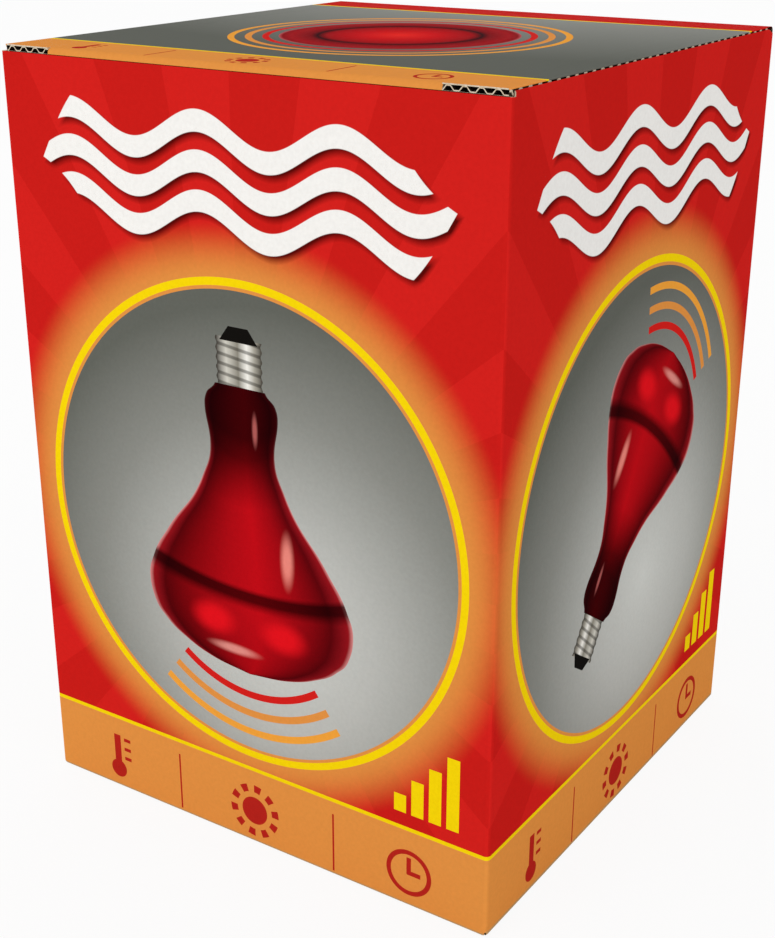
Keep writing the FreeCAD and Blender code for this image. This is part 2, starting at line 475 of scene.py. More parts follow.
    def steps(self, corner: Pair, count: int, pitch: float) -> Socket:
        """Mask of a level sign: upright bars on one line, each taller than the last.

        Args:
            corner: middle of the first bar's foot.
            count: number of bars.
            pitch: distance between bars, and how much taller each is.

        Returns:
            The mask.
        """
        x, y = corner
        wide = pitch * 0.7
        return self.joined(*(
            self.bar((x + index * pitch, y + (index + 1) * pitch / 2), (wide, (index + 1) * pitch))
            for index in range(count)))


@dataclass(frozen=True)
class Ribbons:
    """An odd number of level wavy ribbons, one above the other, that end slanting together on both sides.

    A ribbon's middle line is a sine across the panel, repeated upwards at an even pitch. It ends where the
    distance across, plus a share of the distance up, passes half the width. The sine's swing and half of the
    ribbon's thickness are shares of the pitch.
    """

    centre: Pair = (0.0, 162.0)
    width: float = 108.0
    height: float = 25.0
    count: int = 3
    waves: int = 3
    swing: float = 0.42
    thick: float = 0.28
    slant: float = 0.9
    shadow: float = 0.9
    crisp: float = 0.08

    def draw(self, art: Artwork) -> None:
        """Lays the ribbons in white, over a soft shadow to the right and below.

        Args:
            art: the print.
        """
        x, y = self.centre
        art.lay(Ink.SHADOW, self.mask(art, (x + self.shadow, y - self.shadow), self.shadow))
        art.lay(Ink.WHITE, self.mask(art, self.centre, self.crisp))

    def mask(self, art: Artwork, centre: Pair, blur: float) -> Socket:
        """Mask of the ribbons.

        Args:
            art: the print.
            centre: their middle.
            blur: half width of their soft edge.

        Returns:
            The mask.
        """
        pitch = self.height / self.count
        turn = self.waves * TURN / self.width
        phase = art.node("Math", (art.u, turn, -turn * centre[0]), operation="MULTIPLY_ADD")
        wave = art.node("Math", (phase,), operation="SINE")
        above = art.node("Math", (art.v, centre[1]), operation="SUBTRACT")
        level = art.node("Math", (wave, pitch * self.swing, above), operation="MULTIPLY_ADD")
        folded = art.node("Math", (level, pitch / 2, -pitch / 2), operation="WRAP")
        offset = art.node("Math", (folded,), operation="ABSOLUTE")
        edge = pitch * self.thick
        strokes = art.node("MapRange", (offset, edge + blur, edge - blur, 0.0, 1.0))
        rise = art.node("Math", (level,), operation="ABSOLUTE")
        beside = art.node("Math", (art.u, centre[0]), operation="SUBTRACT")
        side = art.node("Math", (beside,), operation="ABSOLUTE")
        reach = art.node("Math", (rise, self.slant, side), operation="MULTIPLY_ADD")
        ends = art.node("MapRange", (reach, self.width / 2 + blur, self.width / 2 - blur, 0.0, 1.0))
        rows = art.node("Math", (rise, self.height / 2), operation="LESS_THAN")
        return art.shared(strokes, ends, rows)


@dataclass(frozen=True)
class LampPlace:
    """Where a point of the print lies on a pictured lamp, in shares of the lamp's length.

    It has the point itself, its share across (signed) and along from the contact to the crown, and its share
    beside the middle line.
    """

    point: Socket
    across: Socket
    along: Socket
    side: Socket


@dataclass(frozen=True)
class LampPicture:
    """Flat picture of a reflector lamp from the side, shaded like an airbrushed drawing.

    Sizes on it are shares of its length.
    """

    contact: Pair
    length: float
    tilt: float
    widest: float = 0.351
    bulge: float = 0.05
    cap_half: float = 0.0737
    cap_top: float = 0.16
    cap_overlap: float = 0.01
    tip_top: float = 0.04
    tip_half: float = 0.032
    tip_slope: float = 0.75
    thread: float = 0.026
    thread_slant: float = 0.12
    thread_depth: float = 0.0022
    focus: float = 0.68
    wedge_slope: float = 1.35
    warm_line: float = 0.022

    def draw(self, art: Artwork) -> None:
        """Lays the picture on a print: arcs of warmth before the crown, then cap, glass and glints.

        Args:
            art: the print.
        """
        point = art.node("Mapping", {
            "Vector": art.place, "Location": (*self.contact, 0), "Rotation": (0, 0, math.radians(self.tilt)),
            "Scale": (self.length,) * 3}, vector_type="TEXTURE")
        across = art.node("SeparateXYZ", (point,), out="X")
        along = art.node("SeparateXYZ", (point,), out="Y")
        place = LampPlace(point, across, along, art.node("Math", (across,), operation="ABSOLUTE"))
        for layer in (self.draw_warmth, self.draw_cap, self.draw_glass, self.draw_glints):
            layer(art, place)

    def draw_warmth(self, art: Artwork, at: LampPlace) -> None:
        """Lays three arcs round the crown, inside a wedge ahead of it.

        Args:
            art: the print.
            at: place on the lamp.
        """
        away = art.node("VectorMath", (at.point, (0, self.focus, 0)), out="Value", operation="DISTANCE")
        ahead = art.node("Math", (at.side, -self.wedge_slope, at.along), operation="MULTIPLY_ADD")
        wedge = art.node("Math", (ahead, self.focus), operation="GREATER_THAN")
        for radius, ink in ((0.385, Ink.RED), (0.445, Ink.ORANGE), (0.505, Ink.AMBER)):
            line = art.node("Math", (away, radius, self.warm_line / 2), operation="COMPARE")
            art.lay(ink, art.shared(line, wedge))

    def draw_cap(self, art: Artwork, at: LampPlace) -> None:
        """Lays the screw cap, a grey ramp across it that darkens in the thread's grooves, and a black tip.

        Args:
            art: the print.
            at: place on the lamp.
        """
        spread = art.node("Math", (at.across, 0.5 / self.cap_half, 0.5), operation="MULTIPLY_ADD")
        metal = art.node("ValToRGB", (spread,), stops=[
            (0.0, "#4A463E"), (0.16, "#A8A498"), (0.32, "#F4F2EA"), (0.52, "#8A867A"), (0.78, "#D0CDC2"),
            (1.0, "#3E3A34")])
        slanted = art.node("Math", (at.across, self.thread_slant, at.along), operation="MULTIPLY_ADD")
        turn = art.node("Math", (slanted, TURN / self.thread), operation="MULTIPLY")
        wave = art.node("Math", (turn,), operation="SINE")
        groove = art.node("MapRange", (wave, 0.1, 0.8, 0.0, 0.6))
        screw = art.node("Mix", {0: groove, 6: metal, 7: linear("#2E2A24")}, out=2, data_type="RGBA")
        edge = art.node("Math", (wave, -self.thread_depth, self.cap_half), operation="MULTIPLY_ADD")
        wide = art.node("Math", (at.side, edge), operation="LESS_THAN")
        middle = (self.cap_top + self.tip_top) / 2
        half = middle - self.tip_top + self.cap_overlap
        art.lay(screw, art.shared(wide, art.node("Math", (at.along, middle, half), operation="COMPARE")))
        slope = art.node("Math", (at.along, self.tip_slope, self.tip_half), operation="MULTIPLY_ADD")
        cone = art.node("Math", (at.side, slope), operation="LESS_THAN")
        tip = art.node("Math", (at.along, self.tip_top / 2, self.tip_top / 2), operation="COMPARE")
        art.lay("#141210", art.shared(cone, tip))

    def draw_glass(self, art: Artwork, at: LampPlace) -> None:
        """Lays the glass: its half width is a curve along it, and its shade a ramp across it.

        A dark band marks the edge of the mirror, bowed by the square of the share across.

        Args:
            art: the print.
            at: place on the lamp.
        """
        profile = art.node("FloatCurve", (1.0, at.along), curve=[
            (0.0, 0.22), (0.155, 0.23), (0.195, 0.325), (0.225, 0.345), (0.33, 0.305), (0.43, 0.39),
            (0.62, 0.775), (0.72, 0.95), (0.785, 1.0), (0.85, 0.965), (0.905, 0.845), (0.95, 0.64),
            (0.982, 0.38), (1.0, 0.0)])
        half = art.node("Math", (profile, self.widest), operation="MULTIPLY")
        within = art.node("Math", (at.side, half), operation="LESS_THAN")
        above = art.node("Math", (at.along, self.cap_top), operation="GREATER_THAN")
        ratio = art.node("Math", (at.across, half), operation="DIVIDE")
        spread = art.node("Math", (ratio, 0.5, 0.5), operation="MULTIPLY_ADD")
        ruby = art.node("ValToRGB", (spread,), stops=[
            (0.0, "#D98A88"), (0.02, "#94141C"), (0.1, "#5C060C"), (0.26, "#9C0A13"), (0.44, "#C00D17"),
            (0.6, "#AE0C15"), (0.78, "#86080F"), (0.92, "#56050A"), (0.98, "#94141C"), (1.0, "#D98A88")])
        square = art.node("Math", (ratio, ratio), operation="MULTIPLY")
        bowed = art.node("Math", (square, self.bulge, at.along), operation="MULTIPLY_ADD")
        shade = art.node("ValToRGB", (bowed,), stops=[
            (0.3, 0.92), (0.36, 0.8), (0.5, 0.0), (0.735, 0.0), (0.75, 0.85), (0.772, 0.85), (0.8, 0.0),
            (1.0, 0.25)])
        glass = art.node("Mix", {0: shade, 6: ruby, 7: linear("#160204")}, out=2, data_type="RGBA")
        art.lay(glass, art.shared(within, above))

    def draw_glints(self, art: Artwork, at: LampPlace) -> None:
        """Lays soft ellipses: two red glows in the crown, and pale glints on flank, crown and neck.

        Args:
            art: the print.
            at: place on the lamp.
        """
        for spot, size, ink, strength in (
            ((-0.12, 0.855), (0.1, 0.065), "#E8141E", 0.9),
            ((0.12, 0.855), (0.1, 0.065), "#E8141E", 0.9),
            ((-0.14, 0.62), (0.028, 0.1), "#FF9A8C", 0.75),
            ((0.05, 0.935), (0.11, 0.02), "#FFB0A4", 0.6),
            ((-0.045, 0.27), (0.012, 0.06), "#C86A66", 0.7),
        ):
            offset = art.node("VectorMath", (at.point, (*spot, 0)), operation="SUBTRACT")
            scaled = art.node("VectorMath", (offset, (*size, 1.0)), operation="DIVIDE")
            reach = art.node("VectorMath", (scaled,), out="Value", operation="LENGTH")
            art.lay(ink, art.node("MapRange", (reach, 1.0, 0.25, 0.0, strength),
                                  interpolation_type="SMOOTHSTEP"))


@dataclass(frozen=True)
class CrownPicture:
    """Flat picture of a reflector lamp from its crown: rings of ruby round a bright middle."""

    centre: Pair
    radius: float

    def draw(self, art: Artwork) -> None:
        """Lays the picture on a print, shaded by the distance from the middle.

        Args:
            art: the print.
        """
        share = art.node("Math", (art.away(self.centre), self.radius), operation="DIVIDE")
        rings = art.node("ValToRGB", (share,), stops=[
            (0.0, "#E8281E"), (0.3, "#CC0A12"), (0.6, "#9C0A12"), (0.68, "#22030A"), (0.74, "#7E0A12"),
            (0.9, "#A2121A"), (0.97, "#8A0C14"), (1.0, "#C2545A")])
        art.lay(rings, art.disc(self.centre, self.radius))


@dataclass(frozen=True)
class Finish:
    """A finish, named for its material and how that was made. Each kind shades it from its own fields."""

    name: str

    def shade(self, node: AddNode) -> Inputs:
        """Adds the finish's own nodes.

        Args:
            node: adds a node to the material.

        Returns:
            The principled shader's inputs by name.
        """
        raise NotImplementedError

    def material(self) -> Material:
        """Builds the material and closes it with a principled shader.

        Returns:
            The material.
        """
        material = bpy.data.materials.new(self.name)
        node = empty_tree(material)
        node("OutputMaterial", {"Surface": node("BsdfPrincipled", self.shade(node))})
        return material


@dataclass(frozen=True)
class PrintedWall(Finish):
    """Clay-coated white liner, offset printed and sealed with a matt varnish.

    The eye sees even flat inks with crisp edges and a faint washboard from the flutes under the liner. The
    colour is painted brighter along the folds, a painted highlight for light caught by the rounded folds,
    and a dull tan line along the foot is painted shade, where the base fold turns away from the light. No
    gloss shows, even at a flat angle, so there is next to none. The mottle is coarser than real fibres, so
    that it shows.
    """

    panel: Panel
    picture: LampPicture | CrownPicture
    header: Ribbons = Ribbons()
    disc_centre: Pair = (0.0, 83.0)
    disc_radius: float = 56.0
    rim_outer: float = 2.6
    rim_inner: float = 0.8
    glow: Pair = (15.0, 2.0)
    glow_share: float = 0.95
    rays: int = 18
    band_low: float = -2.0
    band_high: float = 20.5
    band_line: float = 1.0
    divider: float = 0.5
    level_corner: Pair = (42.0, 25.0)
    level_count: int = 4
    level_pitch: float = 4.6
    half_width: float = 65.0
    flute_pitch: float = 3.5
    fibre: float = 0.9
    roughness: float = 0.55
    # painted highlight: the band just inside each fold where the colour is made brighter, and its gain
    crease: Pair = (1.1, 0.3)
    crease_highlight_gain: float = 1.15
    # painted shade at the foot: the height where it ends, its fade, its share and its dull tan tone
    foot_shade_top: float = 1.1
    foot_shade_fade: float = 0.4
    foot_shade_share: float = 0.85
    foot_shade_tone: str = "#BA9A6A"

    @property
    def wide(self) -> float:
        """Width of a stripe that reaches past both folds."""
        return 2 * self.half_width + 2

    def draw_silver(self, art: Artwork, light: Pair, reach: float, mask: Socket | float) -> None:
        """Lays the silver field, graded by the distance from its light spot.

        Args:
            art: the print.
            light: the light spot.
            reach: distance at which it is darkest.
            mask: the field.
        """
        share = art.node("Math", (art.away(light), reach), operation="DIVIDE")
        silver = art.node("ValToRGB", (share,), stops=[
            (0.0, "#D0D2CD"), (0.35, "#B9BAB5"), (0.7, "#8A8B85"), (1.0, "#62645D")])
        art.lay(silver, mask)

    def draw_field(self, art: Artwork) -> None:
        """Lays the red ground with its rays, the glowing rim, the silver field, the picture and the signs.

        Args:
            art: the print.
        """
        centre, rim = self.disc_centre, self.disc_radius
        art.lay(Ink.RED)
        art.lay(Ink.DEEP_RED, art.spokes(centre, self.rays))
        far, near = self.glow
        glow = art.node("MapRange", (art.away(centre), rim + far, rim + near, 0.0, self.glow_share),
                        interpolation_type="SMOOTHSTEP")
        art.lay(Ink.ORANGE, glow)
        art.lay(Ink.YELLOW, art.disc(centre, rim + self.rim_outer))
        art.lay(Ink.ORANGE, art.disc(centre, rim + self.rim_inner))
        light = (centre[0] + rim * 0.15, centre[1] - rim * 0.4)
        self.draw_silver(art, light, rim * 1.35, art.disc(centre, rim))
        self.picture.draw(art)
        self.header.draw(art)
        art.lay(Ink.YELLOW, art.steps(self.level_corner, self.level_count, self.level_pitch))

    def draw_band(self, art: Artwork) -> None:
        """Lays the orange band with its dividers and three plain signs.

        Args:
            art: the print.
        """
        middle = (self.band_high + self.band_low) / 2
        tall = self.band_high - self.band_low
        art.lay(Ink.YELLOW, art.bar((0, self.band_high), (self.wide, 2 * self.band_line)))
        art.lay(Ink.ORANGE, art.bar((0, middle), (self.wide, tall)))
        third = self.half_width * 0.36
        outer = 1.9 * third
        sign = tall * 0.27
        line = (self.divider, tall * 0.7)
        for mask in (
            art.bar((-third, middle), line),
            art.bar((third, middle), line),
            art.thermometer((-outer, middle), sign),
            art.sun((0, middle), sign * 1.2),
            art.clock((outer, middle), sign),
        ):
            art.lay(Ink.DARK_RED, mask)

    def shade(self, node: AddNode) -> Inputs:
        """Lays the print, a painted shade at its foot and painted highlights at the folds, mottle and flutes.

        The washboard is a sine across the panel with the pitch of the flutes.

        Args:
            node: adds a node to the material.

        Returns:
            The shader's inputs.
        """
        art = Artwork(node, self.panel)
        self.draw_field(art)
        self.draw_band(art)
        # painted shade: a dull tan line along the foot, where the base fold turns away from the light
        unshaded_above, fully_shaded_below = self.foot_shade_top, self.foot_shade_top - self.foot_shade_fade
        art.lay(self.foot_shade_tone, node("MapRange", (art.v, unshaded_above, fully_shaded_below, 0.0, self.foot_shade_share)))
        # painted highlight: the colour grows brighter towards each fold, for light caught by the rounded fold
        far, near = (self.half_width - inset for inset in self.crease)
        side = node("Math", (art.u,), operation="ABSOLUTE")
        crease = node("MapRange", (side, far, near, 1.0, self.crease_highlight_gain))
        mottle = node("TexNoise", {"Vector": art.place_3d, "Scale": 1 / self.fibre, "Detail": 4.0})
        even = node("MapRange", (mottle, *NOISE_RANGE, 0.97, 1.03))
        tone_factor = node("Math", (even, crease), operation="MULTIPLY")
        phase = node("Math", (art.u, TURN / self.flute_pitch), operation="MULTIPLY")
        washboard = node("Math", (phase,), operation="SINE")
        relief = node("Math", (mottle, 0.5, washboard), operation="MULTIPLY_ADD")
        bump = node("Bump", {"Strength": 0.12, "Distance": 0.04 * MM, "Height": relief})
        sheen = node("MapRange", (mottle, *NOISE_RANGE, self.roughness - 0.05, self.roughness + 0.05))
        return {"Base Color": art.inked(tone_factor), "Roughness": sheen, "Normal": bump,
                "Specular IOR Level": 0.001}


@dataclass(frozen=True)
class PrintedLid(PrintedWall):
    """The same varnished print on the lid: silver all over, orange at the front fold and red at the hinge."""

    disc_centre: Pair = (0.0, -2.0)
    ring_line: float = 1.6
    band_low: float = -66.0
    band_high: float = -51.5
    back_band: float = 51.0
    back_line: float = 1.2
    light: Pair = (0.0, 200.0)
    light_reach: float = 230.0
    # the painted foot shade starts below the lid, so none shows on it
    foot_shade_top: float = -66.0

    def draw_field(self, art: Artwork) -> None:
        """Lays the silver field with the crown and its warm rings, and the red band at the hinge.

        Args:
            art: the print.
        """
        self.draw_silver(art, self.light, self.light_reach, 1.0)
        for gap, ink in ((11.0, Ink.AMBER), (7.0, Ink.ORANGE), (3.0, Ink.RED)):
            art.lay(ink, art.ring(self.disc_centre, self.picture.radius + gap, self.ring_line))
        self.picture.draw(art)
        deep = 2 * (self.half_width - self.back_band)
        art.lay(Ink.YELLOW, art.bar((0, self.half_width), (self.wide, deep + 2 * self.back_line)))
        art.lay(Ink.DEEP_RED, art.bar((0, self.half_width), (self.wide, deep)))


@dataclass(frozen=True)
class FlapCoat(Finish):
    """The same coated liner where only the bleed of the print reaches: white paper, red beside the fold.

    The bleed follows the side folds at the top, and all four folds at the base. The fibres are drawn coarser
    than real ones, so that they show.
    """

    name: str = "coated_liner_with_bleed"
    white: str = "#E9E6DF"
    bleed_from: float = 57.0
    base_zone: float = 50.0
    fibre: float = 0.7

    def shade(self, node: AddNode) -> Inputs:
        """Lays the bleed where the larger of the distances across and, at the base, along passes a limit.

        Args:
            node: adds a node to the material.

        Returns:
            The shader's inputs.
        """
        art = Artwork(node, Panel.LID)
        side = node("Math", (art.u,), operation="ABSOLUTE")
        height = node("SeparateXYZ", (art.place_3d,), out="Z")
        low = node("Math", (height, self.base_zone), operation="LESS_THAN")
        ahead = node("Math", (art.v, low), operation="MULTIPLY")
        end = node("Math", (ahead,), operation="ABSOLUTE")
        reach = node("Math", (side, end), operation="MAXIMUM")
        art.lay(self.white)
        art.lay(Ink.RED, node("Math", (reach, self.bleed_from), operation="GREATER_THAN"))
        fibres = node("TexNoise", {"Vector": art.place_3d, "Scale": 1 / self.fibre, "Detail": 5.0})
        tone_factor = node("MapRange", (fibres, *NOISE_RANGE, 0.95, 1.04))
        bump = node("Bump", {"Strength": 0.15, "Distance": 0.03 * MM, "Height": fibres})
        return {"Base Color": art.inked(tone_factor), "Roughness": 0.62, "Normal": bump,
                "Specular IOR Level": 0.25}


@dataclass(frozen=True)
class KraftLiner(Finish):
    """Unbleached kraft paper: matt brown, flecked with long fibres, the flutes showing as faint stripes.

    The fibres are drawn coarser than real ones, so that they show.
    """

    name: str = "kraft_liner_unbleached"
    light: str = "#C6A677"
    dark: str = "#AF8D5D"
    fibre: float = 1.1
    fibre_stretch: float = 4.0
    flute_pitch: float = 3.5

    def shade(self, node: AddNode) -> Inputs:
        """Adds fibres as noise drawn out upwards, and flutes as a sine along the walls.

        Args:
            node: adds a node to the material.

        Returns:
            The shader's inputs.
        """
        art = Artwork(node, Panel.LID)
        squeeze = (1.0, 1.0, 1 / self.fibre_stretch)
        long_fibres = node("VectorMath", (art.place_3d, squeeze), operation="MULTIPLY")
        fibres = node("TexNoise", {"Vector": long_fibres, "Scale": 1 / self.fibre, "Detail": 6.0})
        paper = node("ValToRGB", (fibres,), stops=[(0.35, self.dark), (0.65, self.light)])
        along = node("Math", (art.u, art.v), operation="ADD")
        flute = node("Math", (along, TURN / self.flute_pitch), operation="MULTIPLY")
        stripe = node("Math", (flute,), operation="SINE")
        relief = node("Math", (fibres, 0.6, stripe), operation="MULTIPLY_ADD")
        bump = node("Bump", {"Strength": 0.3, "Distance": 0.06 * MM, "Height": relief})
        return {"Base Color": paper, "Roughness": 0.85, "Normal": bump, "Specular IOR Level": 0.2}


@dataclass(frozen=True)
class Mottled(Finish):
    """A matt finish of two tones in an even grain, drawn coarser than the real one, so that it shows."""

    light: str
    dark: str
    grain: float
    roughness: float
    detail: float = 4.0
    light_from: float = 0.65
    metallic: float = 0.0
    specular: float = 0.5
    fuzz: float = 0.0
    fuzz_height: float = 0.05

    def shade(self, node: AddNode) -> Inputs:
        """Mixes the tones by a noise of the grain's size, which also raises the fuzz, if there is any.

        Args:
            node: adds a node to the material.

        Returns:
            The shader's inputs.
        """
        place = node("TexCoord", out="Object")
        grain = node("TexNoise", {"Vector": place, "Scale": 1 / (self.grain * MM), "Detail": self.detail})
        tone = node("ValToRGB", (grain,), stops=[(0.35, self.dark), (self.light_from, self.light)])
        inputs = {"Base Color": tone, "Metallic": self.metallic, "Roughness": self.roughness,
                  "Specular IOR Level": self.specular}
        if self.fuzz:
            relief = {"Strength": self.fuzz, "Distance": self.fuzz_height * MM, "Height": grain}
            inputs["Normal"] = node("Bump", relief)
        return inputs


@dataclass(frozen=True)
class RawBoard(Mottled):
    """Cut edge of paper board: pale cream pulp, fuzzy and matt."""

    name: str = "cut_paper_edge"
    light: str = "#E2D5C0"
    dark: str = "#BFAB8C"
    grain: float = 0.5
    roughness: float = 0.9
    detail: float = 5.0
    light_from: float = 0.62
    specular: float = 0.15
    fuzz: float = 0.4


@dataclass(frozen=True)
class ShadedFluting(Mottled):
    """Recycled fluting paper and the liners' glued backs, dull dark brown, almost black: a painted shade.

    The paper is brown; these tones are painted far darker to stand for the shade inside the flutes.
    """

    name: str = "fluting_paper_painted_shade"
    # painted shade: tones far darker than brown paper, for the shade inside the flutes
    light: str = "#3E2E1E"
    dark: str = "#281C11"
    grain: float = 0.6
    roughness: float = 0.95
    specular: float = 0.1


@dataclass(frozen=True)
class Solder(Mottled):
    """Tinned contact with a flattened drop of solder: dull grey, dappled."""

    name: str = "solder_on_tinned_brass"
    light: str = "#A9A69C"
    dark: str = "#76736A"
    grain: float = 1.2
    roughness: float = 0.45
    metallic: float = 1.0


@dataclass(frozen=True)
class RubyGlass(Finish):
    """Blown hard glass, stained ruby and mirror-coated inside: deep red, glossy, almost black at the neck."""

    name: str = "ruby_stained_blown_glass"
    bright: str = "#9C0A12"
    neck: str = "#1A0204"
    neck_height: float = 62.0
    clear_height: float = 92.0
    ripple: float = 9.0

    def shade(self, node: AddNode) -> Inputs:
        """Grades the stain by height above the neck, and adds the glass's slow ripple as noise.

        Args:
            node: adds a node to the material.

        Returns:
            The shader's inputs.
        """
        place = node("TexCoord", out="Object")
        height = node("SeparateXYZ", (place,), out="Z")
        share = node("MapRange", (height, self.neck_height * MM, self.clear_height * MM, 0.0, 1.0),
                     interpolation_type="SMOOTHSTEP")
        tones = {0: share, 6: linear(self.neck), 7: linear(self.bright)}
        stain = node("Mix", tones, out=2, data_type="RGBA")
        uneven = node("TexNoise", {"Vector": place, "Scale": 1 / (self.ripple * MM), "Detail": 2.0})
        bump = node("Bump", {"Strength": 0.05, "Distance": 0.2 * MM, "Height": uneven})
        return {"Base Color": stain, "Metallic": 0.45, "Roughness": 0.06, "Normal": bump}


@dataclass(frozen=True)
class CapMetal(Finish):
    """Nickel-plated sheet, rolled into a screw: bright grey with drawing marks, coarse enough to show."""

    name: str = "nickel_plated_rolled_sheet"
    tone: str = "#B9B4A6"
    marks: float = 0.8
    marks_squeeze: float = 6.0

    def shade(self, node: AddNode) -> Inputs:
        """Adds the drawing marks: noise squeezed upwards, so that it runs round the shell, as roughness.

        Args:
            node: adds a node to the material.

        Returns:
            The shader's inputs.
        """
        place = node("TexCoord", out="Object")
        drawn = node("VectorMath", (place, (1.0, 1.0, self.marks_squeeze)), operation="MULTIPLY")
        marks = node("TexNoise", {"Vector": drawn, "Scale": 1 / (self.marks * MM), "Detail": 3.0})
        rough = node("MapRange", (marks, *NOISE_RANGE, 0.22, 0.38))
        return {"Base Color": linear(self.tone), "Metallic": 1.0, "Roughness": rough}


@dataclass(frozen=True)
class CapGlass(Finish):
    """Black pressed glass of the cap's insulator: glossy, with a slightly orange-peel surface."""

    name: str = "black_pressed_glass"
    tone: str = "#0E0D0C"
    peel: float = 1.5

    def shade(self, node: AddNode) -> Inputs:
        """Adds the orange peel as noise in the relief.

        Args:
            node: adds a node to the material.

        Returns:
            The shader's inputs.
        """
        place = node("TexCoord", out="Object")
        peel = node("TexNoise", {"Vector": place, "Scale": 1 / (self.peel * MM)})
        bump = node("Bump", {"Strength": 0.15, "Distance": 0.1 * MM, "Height": peel})
        return {"Base Color": linear(self.tone), "Roughness": 0.15, "Normal": bump}


@dataclass(frozen=True)
class FluteCut:
    """A cut across the flutes.

    It has the outer liner's print, its thickness and what its rim shows, the depth to which the flutes are
    open, the wave's pitch, the shares of it that are flat at crest and trough, the share at which it starts
    after a crest, and the thickness of medium and inner liner that show.
    """

    skin: Skin
    cover: float
    cover_rim: Skin
    depth: float
    pitch: float
    crest: float
    trough: float
    start: float
    medium: float
    sill: float = 0.03


@dataclass(frozen=True)
class Board:
    """Single-wall board: two liners on a fluted medium, which lies a little back from a cut edge."""

    thick: float = 1.4
    liner: float = 0.22
    recess: float = 0.05
    # thickness of the dark wall behind the open flutes, a painted shade
    shade_backing: float = 0.1
    steps: int = 32

    def flute_edge(self, draft: MeshDraft, cut: FluteCut, start: np.ndarray, along: np.ndarray,
                   inward: np.ndarray, up: np.ndarray) -> None:
        """Adds a cut edge: both liners as strips, the medium as a wave between them, and a wall behind it.

        The wave is a trapezoid: flat at its crests and troughs, and straight between them. The wall behind,
        the medium and the liners' inner faces take the dark flute finish, a painted shade for the dark down
        the flutes.

        Args:
            draft: mesh that gets the edge.
            cut: how the edge is cut.
            start: the edge's first corner, on the inner liner.
            along: the edge as a vector, with its length.
            inward: unit vector into the board.
            up: unit vector from the inner liner to the outer one.
        """
        length = float(np.linalg.norm(along))
        step = along / length

        def strip(w: np.ndarray, h: np.ndarray | float, recess: float = 0.0) -> np.ndarray:
            """Points w along the edge and h up, in two columns: at a recess, and at the cut's depth."""
            line = start + np.outer(w, step) + np.outer(np.broadcast_to(h, w.shape), up)
            return np.stack([line + recess * inward, line + cut.depth * inward], axis=1)

        ends = np.array([0.0, length])
        roof = self.thick - cut.cover
        under, sill, ceiling, top = (strip(ends, height) for height in (0.0, cut.sill, roof, self.thick))
        # the liners' inner faces take the dark flute finish: painted shade
        draft.slab(under, sill, Skin.KRAFT, Skin.FLUTE_SHADE, Skin.RAW)
        draft.slab(top, ceiling, cut.skin, Skin.FLUTE_SHADE, cut.cover_rim)

        w = np.linspace(0, length, int(length / cut.pitch * self.steps) + 1)
        low = cut.sill + cut.medium / 2
        high = roof - cut.medium / 2
        bends = np.array([cut.crest / 2, 0.5 - cut.trough / 2, 0.5 + cut.trough / 2, 1 - cut.crest / 2])
        middle = np.interp((w / cut.pitch + cut.start) % 1, bends, [high, low, low, high])
        slope = np.gradient(middle, w)
        half = cut.medium / 2 / np.hypot(1, slope)
        upper = strip(np.clip(w - slope * half, 0, length), middle + half, self.recess)
        lower = strip(np.clip(w + slope * half, 0, length), middle - half, self.recess)
        draft.slab(upper, lower, Skin.FLUTE_SHADE, Skin.FLUTE_SHADE, Skin.RAW)
        # painted shade: a dark wall at the cut's depth stands for the shade further down the flutes
        open_face = np.stack([sill[:, 0], ceiling[:, 0]], axis=1)
        behind = open_face + (cut.depth - self.shade_backing) * inward
        draft.slab(behind, behind + self.shade_backing * inward, Skin.FLUTE_SHADE, Skin.FLUTE_SHADE, Skin.FLUTE_SHADE)


@dataclass(frozen=True)
class CartonSizes:
    """Sizes of the folded carton in millimetres, measured from the frame or as the board was creased."""

    board: Board
    half: float
    height: float
    lid_left: float
    lid_right: float
    lip_top: float
    fold: float = 1.2
    base_fold: float = 1.0
    fit: float = 0.15
    slit_inset: float = 14.8
    liner_seat: float = 0.02
    fold_steps: int = 8

    @classmethod
    def from_frame(cls) -> "CartonSizes":
        """Reads the outside, the lid's two ends and the crease lip's height from the frame.

        Returns:
            The sizes.
        """
        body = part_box("carton_body")[1] / MM
        left, right = (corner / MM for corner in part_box("lid"))
        return cls(Board(), half=body.x, height=right.z, lid_left=left.x, lid_right=right.x, lip_top=body.z)

    @property
    def inside(self) -> float:
        """Half of the inside width."""
        return self.half - self.board.thick

    @property
    def floor(self) -> float:
        """Height of the inside floor, two boards thick."""
        return 2 * self.board.thick

    @property
    def lid_bottom(self) -> float:
        """Height of the lid's underside."""
        return self.height - self.board.thick

    @property
    def wall_top(self) -> float:
        """Height of the cut top edges of the walls."""
        return self.lid_bottom - self.fit

    @property
    def flap_root(self) -> float:
        """Height at which the sheets of the dust flaps begin in the side walls."""
        return self.wall_top - 2 * self.board.thick

    @property
    def tuck_half(self) -> float:
        """Half width of the lid's front fold between the two slits."""
        return self.half - self.slit_inset


